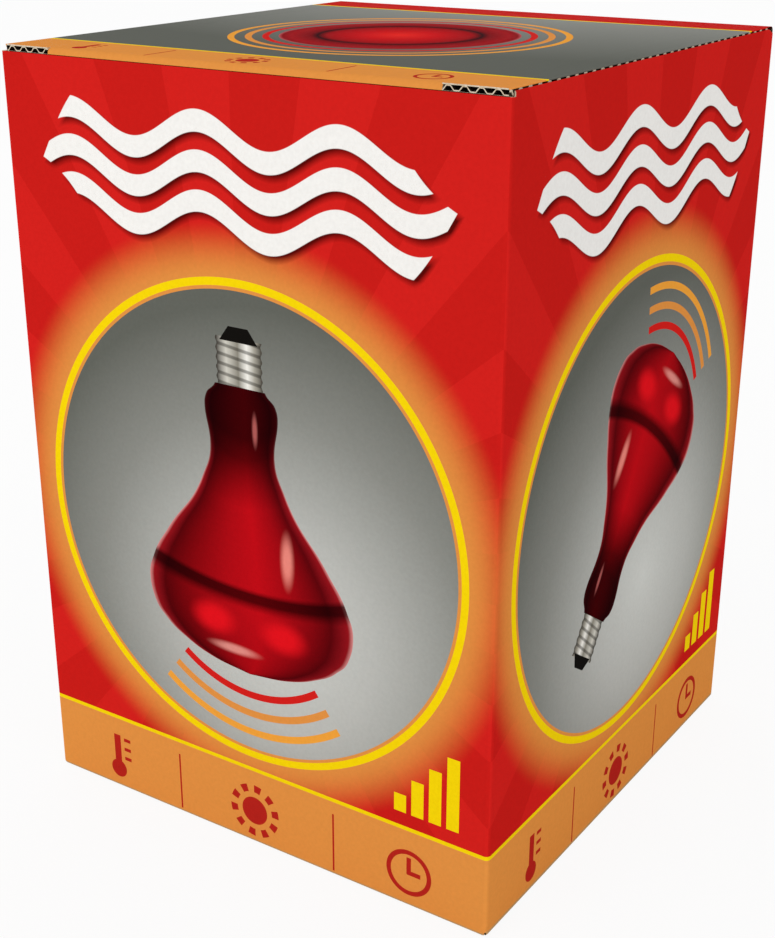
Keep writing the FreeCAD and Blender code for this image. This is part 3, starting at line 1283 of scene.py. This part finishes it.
@dataclass
class CartonBody:
    """The folded sheet: walls wrapped from the seam round to the glue tab, dust flaps and crash-lock base."""

    sizes: CartonSizes
    materials: list[Material]
    dust_length: float = 42.0
    dust_slope: float = 3.0
    dust_shoulder: float = 3.5
    dust_taper: float = 9.0
    dust_corner: float = 12.0
    dust_rows: int = 24
    tuck_gap: float = 0.3
    tab_width: float = 16.0
    tab_cut: float = 6.0
    hook: float = 14.0
    hook_reach: float = 24.0
    seam: float = 0.6
    gusset: float = 24.4
    hole_height: float = 1.15
    hole_depth: float = 0.6
    lip_fall: float = 2.0
    top_cut: FluteCut = FluteCut(
        Skin.FRONT, 0.22, Skin.FRONT, 2.8, 3.5, crest=0.25, trough=0.25, start=0.5, medium=0.2, sill=0.22)

    def wall_path(self) -> tuple[np.ndarray, np.ndarray, np.ndarray, np.ndarray]:
        """Runs round the walls from the cut end at the back left to the tab's fold.

        Returns:
            Outside points, outward normals and inside points of shape (n, 2), and each stretch's skin.
        """
        s = self.sizes
        centre = s.half - s.fold
        tab = s.board.thick - s.inside
        turns = (
            ((-centre, -centre), 180, (-s.inside, -s.inside)),
            ((centre, -centre), 270, (s.inside, -s.inside)),
            ((centre, centre), 360, (s.inside, s.inside)),
            ((s.fold - s.inside, centre), 450, (tab, s.inside)),
        )
        points = [np.array([[-s.half, s.half], [-s.half, centre]])]
        normals = [np.array([[-1.0, 0.0], [-1.0, 0.0]])]
        corners = [np.array([[-s.inside, s.half], [-s.inside, centre]])]
        for middle, angle, corner in turns:
            points.append(arc(middle, s.fold, angle, angle + 90, s.fold_steps))
            normals.append(arc((0, 0), 1.0, angle, angle + 90, s.fold_steps))
            corners.append(np.tile(corner, (s.fold_steps + 1, 1)))
        facing = np.concatenate(normals)
        ahead = np.abs(facing[:-1] + facing[1:])
        skins = np.where(ahead[:, 1] > ahead[:, 0], Skin.FRONT, Skin.SIDE)
        return np.concatenate(points), facing, np.concatenate(corners), skins

    def walls(self, draft: MeshDraft) -> None:
        """Adds the four walls: the path carried up, its foot rolled in by the base fold.

        The side walls end at the root of their dust flaps, whose sheets go on from there, and the front wall
        ends where its flutes lie open. The back wall's top is set back by the seat of the hinge's liner.
        Where the folds meet at the front right foot is a small hole, drawn towards the inside corner. Its pit
        has the dark flute finish, a painted shade.

        Args:
            draft: mesh of the carton.
        """
        s = self.sizes
        outline, facing, corners, skins = self.wall_path()
        foot = arc((s.base_fold, s.base_fold), s.base_fold, 270, 180, s.fold_steps)
        rows = np.concatenate([foot, [[0.0, self.hole_height], [0.0, s.flap_root], [0.0, s.wall_top]]])
        height = np.concatenate([[0.0], rows[:, 1]])
        outer = np.concatenate([corners[None], outline - rows[:, :1, None] * facing])
        outer[-2:, np.isclose(facing[:, 1], 1.0), 1] -= s.liner_seat
        inner = np.broadcast_to(corners, outer.shape)
        front_right = np.isclose(facing @ [1.0, -1.0], math.sqrt(2))
        hole = (height < self.hole_height)[:, None] & front_right
        outer[hole] += self.hole_depth * (inner - outer)[hole]
        # painted shade: the quads round the hole's pit take the dark flute finish
        dark = hole[:-1, :-1] | hole[:-1, 1:] | hole[1:, :-1] | hole[1:, 1:]

        keep = np.ones((len(outer) - 1, len(skins)), bool)
        long = np.linalg.norm(np.diff(outline, axis=0), axis=1) > s.half
        keep[-1, long & (facing[:-1, 1] < 0.5)] = False
        levels = (height, np.maximum(height, s.board.thick))
        outside, inside = (
            np.concatenate([plan, np.broadcast_to(level[:, None, None], (*plan.shape[:2], 1))], axis=-1)
            for plan, level in zip((outer, inner), levels))
        draft.slab(outside, inside, np.where(dark, Skin.FLUTE_SHADE, skins), Skin.KRAFT, Skin.RAW, keep)
        right, ahead, up = np.array([[1.0, 0, 0], [0, -1.0, 0], [0, 0, 1.0]])
        start = np.array([s.fold - s.half, -s.inside, s.wall_top])
        s.board.flute_edge(draft, self.top_cut, start, 2 * (s.half - s.fold) * right, -up, ahead)

    def glue_tab(self, draft: MeshDraft) -> None:
        """Adds the tab glued inside the left wall, its two ends cut slanting.

        Args:
            draft: mesh of the carton.
        """
        s = self.sizes
        back = s.half - s.fold
        front = s.inside - self.tab_width
        low, high = s.floor, s.wall_top - s.board.thick
        cut = self.tab_cut
        outline = np.array([[[back, low], [back, high]], [[front, low + cut], [front, high - cut]]])
        outer = np.concatenate([np.full((2, 2, 1), -s.inside), outline], axis=-1)
        draft.slab(outer, outer + [s.board.thick, 0, 0], Skin.FLAP, Skin.KRAFT, Skin.RAW)

    def dust_flap(self, draft: MeshDraft, side: int) -> None:
        """Adds a dust flap: the wall's top fold, with a lip on the right, then the flap sloping down inside.

        The section is carried from the flap's front edge to its back edge, whose ends are rounded. The lip
        falls to the wall's top towards its back end.

        Args:
            draft: mesh of the carton.
            side: 1 for the right wall, -1 for the left.
        """
        s = self.sizes
        slope = math.radians(self.dust_slope)
        thick = s.board.thick / math.cos(slope)
        lip = s.lid_right + s.fit
        tip = lip - self.dust_length
        root = s.flap_root
        crest = s.lip_top if side > 0 else s.wall_top
        round_lip = arc((lip, crest - (s.half - lip)), s.half - lip, 0, 90, s.fold_steps)
        x = np.linspace(lip, tip, self.dust_rows)
        top = s.wall_top - math.tan(slope) * (lip - x)
        outer = np.concatenate([[[s.half, root]], round_lip, np.stack([x, top], axis=-1)])
        turn = len(round_lip)
        corner = s.wall_top - math.tan(slope) * (lip - s.inside) - thick
        rise = np.stack([np.full(turn, s.inside), np.linspace(root, corner, turn)], axis=-1)
        under = np.stack([np.minimum(x, s.inside), np.minimum(top - thick, corner)], axis=-1)
        inner = np.concatenate([[[s.inside, root]], rise, under])

        flap_x = outer[:, 0]
        shoulder = s.tuck_half + self.tuck_gap
        share = np.clip((shoulder - flap_x) / (shoulder - tip), 0, 1)
        close = np.clip(self.dust_corner - (flap_x - tip), 0, self.dust_corner)
        rounding = self.dust_corner - np.sqrt(self.dust_corner ** 2 - close ** 2)
        back = s.half - s.fold - share * self.dust_taper - rounding
        front = -back + np.where(flap_x < shoulder, self.dust_shoulder, 0.0)
        y = np.stack([front, back - self.lip_fall, back], axis=-1)
        outside, inside = (carry(section, y)[..., [1, 0, 2]] * [side, 1, 1] for section in (outer, inner))
        outside[:, -1, 2] = np.minimum(outside[:, -1, 2], s.wall_top)
        skins = np.where(np.arange(len(outer) - 1) <= turn, Skin.SIDE, Skin.FLAP)[:, None]
        draft.slab(outside, inside, skins, Skin.KRAFT, Skin.RAW)

    def base_panel(self, draft: MeshDraft, x: np.ndarray, y: np.ndarray, low: float) -> None:
        """Adds a level panel of the base, coated below if it is an outer one.

        Args:
            draft: mesh of the carton.
            x: places of its corners across, in two rows or alike in both.
            y: places of its corners along, in the same way.
            low: height of its underside.
        """
        under = np.stack(np.broadcast_arrays(x, y, low), axis=-1)
        skin = Skin.KRAFT if low else Skin.FLAP
        draft.slab(under, under + [0, 0, self.sizes.board.thick], skin, Skin.KRAFT, Skin.RAW)

    def base(self, draft: MeshDraft) -> None:
        """Adds the base: two outer panels that meet in a hooked seam, and the gussets folded in above them.

        Args:
            draft: mesh of the carton.
        """
        s = self.sizes
        edge, gap, thick = s.inside, self.seam / 2, s.board.thick
        x = np.array([-edge, -self.hook_reach, self.hook_reach, edge])
        seam = np.array([-1, -1, 1, 1]) * self.hook / 2
        self.base_panel(draft, x, np.stack([np.full(4, -edge), seam - gap]), 0.0)
        self.base_panel(draft, x, np.stack([seam + gap, np.full(4, edge)]), 0.0)
        ends = np.array([-1.0, 1.0])
        wide, narrow = s.inside - s.fit, self.gusset
        for sign in ends:
            reach = sign * np.array([[wide], [narrow + gap]])
            self.base_panel(draft, np.outer([wide - gap, narrow - gap], ends), reach, thick)
            self.base_panel(draft, reach, np.outer([wide, narrow], ends), thick)
        self.base_panel(draft, narrow * ends, narrow * ends[:, None], thick)

    def build(self) -> Piece:
        """Builds the whole sheet as one piece on the carton's body.

        Returns:
            The piece.
        """
        draft = MeshDraft("folded_carton")
        self.walls(draft)
        self.glue_tab(draft)
        self.base(draft)
        for side in (1, -1):
            self.dust_flap(draft, side)
        return stand_in(draft.build(self.materials), "carton_body", "carton")


@dataclass
class Lid:
    """The top panel with its rounded front fold, tuck flap, slit corners and fluted cut edges."""

    sizes: CartonSizes
    materials: list[Material]
    nose: float = 1.3
    nose_crease: Pair = (0.05, 0.02)
    hinge: float = 1.2
    hinge_reach: float = 2.7
    hinge_rows: int = 6
    hinge_sharp: float = 60.0
    bend_below: float = 1.0
    bend_ahead: float = 2.0
    tuck_depth: float = 22.0
    tuck_lean: float = 6.0
    tuck_gap: float = 0.3
    tuck_taper: float = 2.5
    tuck_corner: float = 9.0
    tuck_rows: int = 20
    front_cut: FluteCut = FluteCut(
        Skin.LID, 0.26, Skin.RAW, 12.0, 3.5, crest=0.25, trough=0.32, start=0.631, medium=0.22)
    side_cut: FluteCut = FluteCut(
        Skin.LID, 0.22, Skin.LID, 8.0, 3.7, crest=0.28, trough=0.56, start=0.984, medium=0.45)
    corner_depth: float = 0.35
    left_start: float = 0.913

    def back_fold(self, seat: float) -> np.ndarray:
        """Outer skin at the hinge, from the lid's lower back edge over the fold.

        Args:
            seat: how far it lies under the fold's outside.

        Returns:
            Points of shape (n, 2), y and z.
        """
        s = self.sizes
        return arc((s.half - self.hinge, s.height - self.hinge), self.hinge - seat, 0, 90, s.fold_steps)

    def panel(self, draft: MeshDraft) -> None:
        """Adds the top panel with the front fold and the tuck flap, folded as one sheet.

        The sheet is one section carried across in four columns: the ends of the side cuts and the two slits.
        The outer columns stop where the flutes of the front cut begin, and the flap's ends are rounded.

        Args:
            draft: mesh of the lid.
        """
        s = self.sizes
        front = self.front_cut.depth - s.half
        back = self.back_fold(s.liner_seat)
        nose = arc((self.nose - s.half, s.height - self.nose), self.nose, 90, 180, s.fold_steps)
        wall_gap = -s.inside + self.tuck_gap
        depth = np.linspace(0, self.tuck_depth, self.tuck_rows)
        lean = math.radians(self.tuck_lean)
        thick = s.board.thick / math.cos(lean)
        tuck = np.stack([wall_gap + math.tan(lean) * depth, s.lid_bottom - depth], axis=-1)
        outer = np.concatenate([back, [[front, s.height]], nose, [[-s.half, s.lid_bottom]], tuck])

        behind = wall_gap + thick
        near, nearest = self.nose_crease
        under_nose = np.linspace(behind + self.nose, behind + near, s.fold_steps + 1)
        under = np.concatenate([back[:, 0], [front], under_nose, [behind + nearest]])
        level = np.stack([under, np.full(len(under), s.lid_bottom)], axis=-1)
        inner = np.concatenate([level, tuck + [thick, 0]])

        down = np.concatenate([np.zeros(len(under)), depth])
        close = np.clip(down - (self.tuck_depth - self.tuck_corner), 0, self.tuck_corner)
        rounding = self.tuck_corner - np.sqrt(self.tuck_corner ** 2 - close ** 2)
        half = s.tuck_half - self.tuck_taper * down / self.tuck_depth - rounding
        left = np.full(len(half), s.lid_left + self.side_cut.depth)
        right = np.full(len(half), s.lid_right - self.side_cut.depth)
        x = np.stack([left, -half, half, right], axis=-1)
        keep = np.ones((len(outer) - 1, 3), bool)
        keep[len(back):, [0, 2]] = False
        skins = np.where(np.arange(len(outer) - 1) <= len(under), Skin.LID, Skin.FLAP)[:, None]
        draft.slab(carry(outer, x), carry(inner, x), skins, Skin.KRAFT, Skin.RAW, keep)

    def ear(self, draft: MeshDraft, side: int) -> None:
        """Adds the open flutes beside the slit and along the cut side, and the end of the back fold.

        The flutes are a seat lower where the hinge's liner lies over them.

        Args:
            draft: mesh of the lid.
            side: 1 for the right, -1 for the left.
        """
        s = self.sizes
        end = s.lid_right if side > 0 else -s.lid_left
        deep = self.front_cut.depth
        slit = np.array([side * s.tuck_half, -s.half, s.lid_bottom])
        corner = np.array([side * end, -s.half, s.lid_bottom])
        out, back, up = np.array([[side, 0, 0], [0, 1, 0], [0, 0, 1]], float)
        front_cut = self.front_cut if side > 0 else replace(self.front_cut, start=self.left_start)
        front_length = end - s.tuck_half - self.corner_depth
        s.board.flute_edge(draft, front_cut, slit, front_length * out, back, up)
        seat = replace(s.board, thick=s.board.thick - s.liner_seat)
        fold = 2 * s.half - self.hinge
        for board, depth, near, far in (
            (s.board, self.corner_depth, 0.0, deep),
            (s.board, self.side_cut.depth, deep, fold - self.hinge_reach),
            (seat, self.side_cut.depth, fold - self.hinge_reach, fold),
        ):
            start = self.side_cut.start + near / self.side_cut.pitch
            cut = replace(self.side_cut, depth=depth, start=start)
            board.flute_edge(draft, cut, corner + near * back, (far - near) * back, -out, up)
        # painted shade: the cut ends of the back fold take the dark flute finish
        outer = self.back_fold(s.liner_seat)
        inner = np.stack([outer[:, 0], np.full(len(outer), s.lid_bottom)], axis=-1)
        x = side * np.array([end, end - self.side_cut.depth])
        draft.slab(carry(outer, x), carry(inner, x), Skin.LID, Skin.KRAFT, Skin.FLUTE_SHADE)

    def build(self) -> Piece:
        """Builds the lid as one piece on its own body.

        Returns:
            The piece.
        """
        draft = MeshDraft("folded_lid")
        self.panel(draft)
        for side in (1, -1):
            self.ear(draft, side)
        return stand_in(draft.build(self.materials), "lid", "lid")

    def build_hinge(self) -> Piece:
        """Builds the outer liner that carries the lid, one strip from the back wall over the fold.

        The strip is the fold's outside, lengthened straight down and forwards, and a liner thick.

        Returns:
            The piece.
        """
        s = self.sizes
        rows = self.hinge_rows
        fold = self.back_fold(0.0)
        foot = np.linspace(s.wall_top - self.hinge_reach, fold[0, 1], rows)
        low = np.stack([np.full(rows, s.half), foot], axis=-1)
        ahead = fold[-1, 0] - np.linspace(0, self.hinge_reach, rows)
        high = np.stack([ahead, np.full(rows, s.height)], axis=-1)
        outer = np.concatenate([low[:-1], fold, high[1:]])
        along = np.gradient(outer, axis=0)
        normal = np.stack([along[:, 1], -along[:, 0]], axis=-1) / np.linalg.norm(along, axis=1)[:, None]
        x = np.array([s.lid_left, s.lid_right])
        draft = MeshDraft("hinge_liner")
        skins = np.where(np.arange(len(outer) - 1) < len(outer) // 2, Skin.FRONT, Skin.LID)[:, None]
        draft.slab(carry(outer, x), carry(outer - s.board.liner * normal, x), skins, Skin.KRAFT, Skin.LID)
        piece = draft.build(self.materials, self.hinge_sharp)
        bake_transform(piece)
        return piece


@dataclass
class Lamp:
    """The reflector lamp that stands in the carton: envelope, screw shell, insulator and contact."""

    crown_radius: float = 85.0
    shoulder_radius: float = 20.0
    neck_radius: float = 19.0
    neck_length: float = 20.0
    blend_radius: float = 28.0
    collar_radius: float = 21.5
    collar_height: float = 9.0
    stub_radius: float = 12.5
    thread_pitch: float = 3.63
    thread_depth: float = 0.5
    thread_fade: float = 1.5
    thread_rows: int = 120
    plain_top: float = 2.5
    shell_foot: float = 1.0
    shell_bevel: float = 0.5
    insulator_rows: int = 24
    contact_round: float = 0.8
    round_steps: int = 8
    segments: int = 128

    def envelope_profile(self, radius: float, bottom: float, top: float) -> np.ndarray:
        """Outline of the glass: crown and shoulder arcs, a cone tangent to both sides, neck and collar.

        Args:
            radius: largest radius.
            bottom: height of the stub's end.
            top: height of the crown.

        Returns:
            Points of shape (n, 2), radius and height, from the stub up to the crown.
        """
        shoulder_x = radius - self.shoulder_radius
        drop = math.sqrt((self.crown_radius - self.shoulder_radius) ** 2 - shoulder_x ** 2)
        shoulder = (shoulder_x, top - self.crown_radius + drop)
        crown_end = math.degrees(math.atan2(drop, shoulder_x))
        collar_z = bottom + self.collar_height
        neck_z = collar_z + self.neck_length
        hollow = (self.neck_radius + self.blend_radius, neck_z)
        dx, dz = hollow[0] - shoulder[0], hollow[1] - shoulder[1]
        opening = math.acos((self.shoulder_radius + self.blend_radius) / math.hypot(dx, dz))
        normal = math.degrees(math.atan2(dz, dx) + opening)
        return np.concatenate([
            [[0.0, bottom], [self.stub_radius, bottom]],
            arc((self.collar_radius - self.collar_height, collar_z), self.collar_height, -90, 0, steps=12),
            arc(hollow, self.blend_radius, 180, 180 + normal, steps=16),
            arc(shoulder, self.shoulder_radius, normal, crown_end, steps=24),
            arc((0, top - self.crown_radius), self.crown_radius, crown_end, 90, steps=32)[1:],
        ])

    def envelope(self) -> Piece:
        """Builds the glass envelope, its outline turned about the axis.

        Returns:
            The piece.
        """
        draft = MeshDraft("lamp_envelope")
        draft.lathe(self.envelope_profile(*round_node("lamp_glass")), self.segments)
        return self.seat(draft, RubyGlass(), "lamp_glass", "ruby_glass")

    def screw_shell(self) -> Piece:
        """Builds the shell: its radius is a sine of height minus turn, fading out towards both ends.

        Returns:
            The piece.
        """
        radius, bottom, top = round_node("lamp_cap")
        rim = radius - self.thread_depth
        first, last = bottom + self.shell_foot, top - self.shell_bevel
        z = np.linspace(first, last, self.thread_rows)[:, None]
        angle = np.linspace(0, TURN, self.segments, endpoint=False)
        fade = np.clip(np.minimum(z - first, top - self.plain_top - z) / self.thread_fade, 0, 1)
        r = rim + fade * self.thread_depth * np.sin(TURN * z / self.thread_pitch - angle)
        grid = np.stack([r * np.cos(angle), r * np.sin(angle), np.broadcast_to(z, r.shape)], axis=-1)
        foot = arc((rim - self.shell_foot, first), self.shell_foot, 270, 360, self.round_steps)
        draft = MeshDraft("lamp_screw_shell")
        draft.lathe(np.concatenate([[[0.0, bottom]], foot]), self.segments)
        draft.surface(grid, wrap=True)
        draft.lathe(np.array([[rim, last], [rim - self.shell_bevel, top], [0.0, top]]), self.segments)
        return self.seat(draft, CapMetal(), "lamp_cap", "cap_metal")

    def insulator(self) -> Piece:
        """Builds the glass insulator: its radius grows from the contact's as a quarter sine of the height.

        Returns:
            The piece.
        """
        radius, bottom, top = round_node("lamp_cap_insulator")
        inner = round_node("lamp_contact")[0]
        share = np.linspace(0, 1, self.insulator_rows)
        r = inner + (radius - inner) * np.sin(share * TURN / 4)
        profile = np.stack([r, bottom + (top - bottom) * share], axis=-1)
        draft = MeshDraft("lamp_cap_insulator_glass")
        draft.lathe(np.concatenate([[[0.0, bottom]], profile, [[0.0, top]]]), self.segments)
        return self.seat(draft, CapGlass(), "lamp_cap_insulator", "cap_insulator")

    def contact(self) -> Piece:
        """Builds the contact: a disc whose lower edge is an arc, as on a flattened drop.

        Returns:
            The piece.
        """
        radius, bottom, top = round_node("lamp_contact")
        bend = self.contact_round
        edge = arc((radius - bend, bottom + bend), bend, 270, 360, self.round_steps)
        draft = MeshDraft("lamp_centre_contact")
        draft.lathe(np.concatenate([[[0.0, bottom]], edge, [[radius, top], [0.0, top]]]), self.segments // 2)
        return self.seat(draft, Solder(), "lamp_contact", "contact_metal")

    def seat(self, draft: MeshDraft, finish: Finish, node: str, slot: str) -> Piece:
        """Builds and dresses a piece, and stands it in the carton in place of its node.

        Args:
            draft: the piece's mesh.
            finish: its finish.
            node: the node that it stands for.
            slot: not used.

        Returns:
            The piece.
        """
        return stand_in(draft.build([finish.material()]), node, "carton")

    def build(self) -> list[Piece]:
        """Builds the lamp's four pieces, from the crown down."""
        return [self.envelope(), self.screw_shell(), self.insulator(), self.contact()]


@dataclass(frozen=True)
class Camera:
    """The viewpoint: place in millimetres, angles in degrees, lens for a 36 mm sensor and shift."""

    place: Triple = (201.28, -311.71, 224.33)
    azimuth: float = 33.941
    elevation: float = 22.201
    roll: float = -0.053
    lens: float = 59.168
    shift: Pair = (0.0136, 0.0163)
    nearest: float = 10.0

    def build(self) -> None:
        """Creates the scene's camera."""
        data = bpy.data.cameras.new("camera")
        data.lens = self.lens
        data.shift_x, data.shift_y = self.shift
        data.clip_start = self.nearest * MM
        camera = bpy.data.objects.new("camera", data)
        camera.location = [value * MM for value in self.place]
        turns = ((self.azimuth, "Z"), (90 - self.elevation, "X"), (self.roll, "Z"))
        matrices = [Matrix.Rotation(math.radians(angle), 3, axis) for angle, axis in turns]
        camera.rotation_euler = reduce(Matrix.__matmul__, matrices).to_euler()
        bpy.context.scene.collection.objects.link(camera)
        bpy.context.scene.camera = camera


@dataclass(frozen=True)
class Studio:
    """White sweep with soft light from the front left, at a plain level; sizes in metres, power in watts."""

    sky: float = 0.85
    white: str = "#FFFFFF"
    key_place: Triple = (-0.45, -1.0, 0.45)
    key_power: float = 2.4
    key_size: float = 0.7
    floor_tone: str = "#F4F4F4"
    floor_glow: float = 0.9
    floor_size: float = 6.0

    def seen(self, node: AddNode) -> Socket:
        """Returns 1 for rays from the camera, also by way of a gloss or a glass, and 0 for light."""
        rays = [node("LightPath", out=f"Is {kind} Ray") for kind in ("Camera", "Glossy", "Transmission")]
        return reduce(lambda one, other: node("Math", (one, other), operation="MAXIMUM"), rays)

    def light_world(self) -> None:
        """Lights the scene evenly, and shows white behind the object."""
        world = bpy.data.worlds.new("studio")
        node = empty_tree(world)
        level = node("MapRange", (self.seen(node), 0.0, 1.0, self.sky, 1.0))
        sky = node("Background", {"Color": linear(self.white), "Strength": level})
        node("OutputWorld", {"Surface": sky})
        bpy.context.scene.world = world

    def add_key(self) -> None:
        """Adds a square area light that faces the carton's middle."""
        data = bpy.data.lights.new("key_front_left", "AREA")
        data.energy = self.key_power
        data.size = self.key_size
        lamp = bpy.data.objects.new(data.name, data)
        lamp.location = self.key_place
        low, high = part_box("carton_body")
        lamp.rotation_euler = ((low + high) / 2 - lamp.location).to_track_quat("-Z", "Y").to_euler()
        bpy.context.scene.collection.objects.link(lamp)

    def lay_floor(self) -> None:
        """Lays a pale floor that keeps the shadow and shows as white."""
        material = bpy.data.materials.new("white_paper_sweep")
        node = empty_tree(material)
        share = node("Math", (self.seen(node), self.floor_glow), operation="MULTIPLY")
        paper = node("BsdfDiffuse", {"Color": linear(self.floor_tone)})
        glow = node("Emission", {"Color": linear(self.white), "Strength": 1.0})
        node("OutputMaterial", {"Surface": node("MixShader", (share, paper, glow))})
        draft = MeshDraft("floor")
        line = np.array([-0.5, 0.5]) * self.floor_size / MM
        draft.surface(np.stack(np.meshgrid(line, line, 0.0), axis=-1)[:, :, 0])
        draft.build([material])

    def build(self) -> None:
        """Builds world, light and floor."""
        self.light_world()
        self.add_key()
        self.lay_floor()


def board_finishes() -> list[Material]:
    """Builds the board's finishes.

    Returns:
        Their materials, in the order of Skin.
    """
    finishes = (
        PrintedWall("print_front_varnished_liner", Panel.FRONT, LampPicture((0, 131), 84, 180)),
        # the side's painted foot shade reaches a little higher
        PrintedWall("print_side_varnished_liner", Panel.SIDE, LampPicture((-25, 50), 78, -33), foot_shade_top=1.6),
        PrintedLid("print_lid_varnished_liner", Panel.LID, CrownPicture((0, -2), 28)),
        FlapCoat(),
        KraftLiner(),
        RawBoard(),
        ShadedFluting(),
    )
    return [finish.material() for finish in finishes]


def main() -> None:
    """Builds the carton, its lid, the lamp, the studio and the camera, and reports each piece."""
    logging.basicConfig(level=logging.INFO)
    bpy.context.scene.view_settings.view_transform = "Standard"
    sizes = CartonSizes.from_frame()
    finishes = board_finishes()
    lid = Lid(sizes, finishes)
    for piece in (CartonBody(sizes, finishes).build(), lid.build(), lid.build_hinge(), *Lamp().build()):
        LOG.info("%s: %d faces", piece.name, len(piece.data.polygons))
    Studio().build()
    Camera().build()


if __name__ == "__main__":
    main()
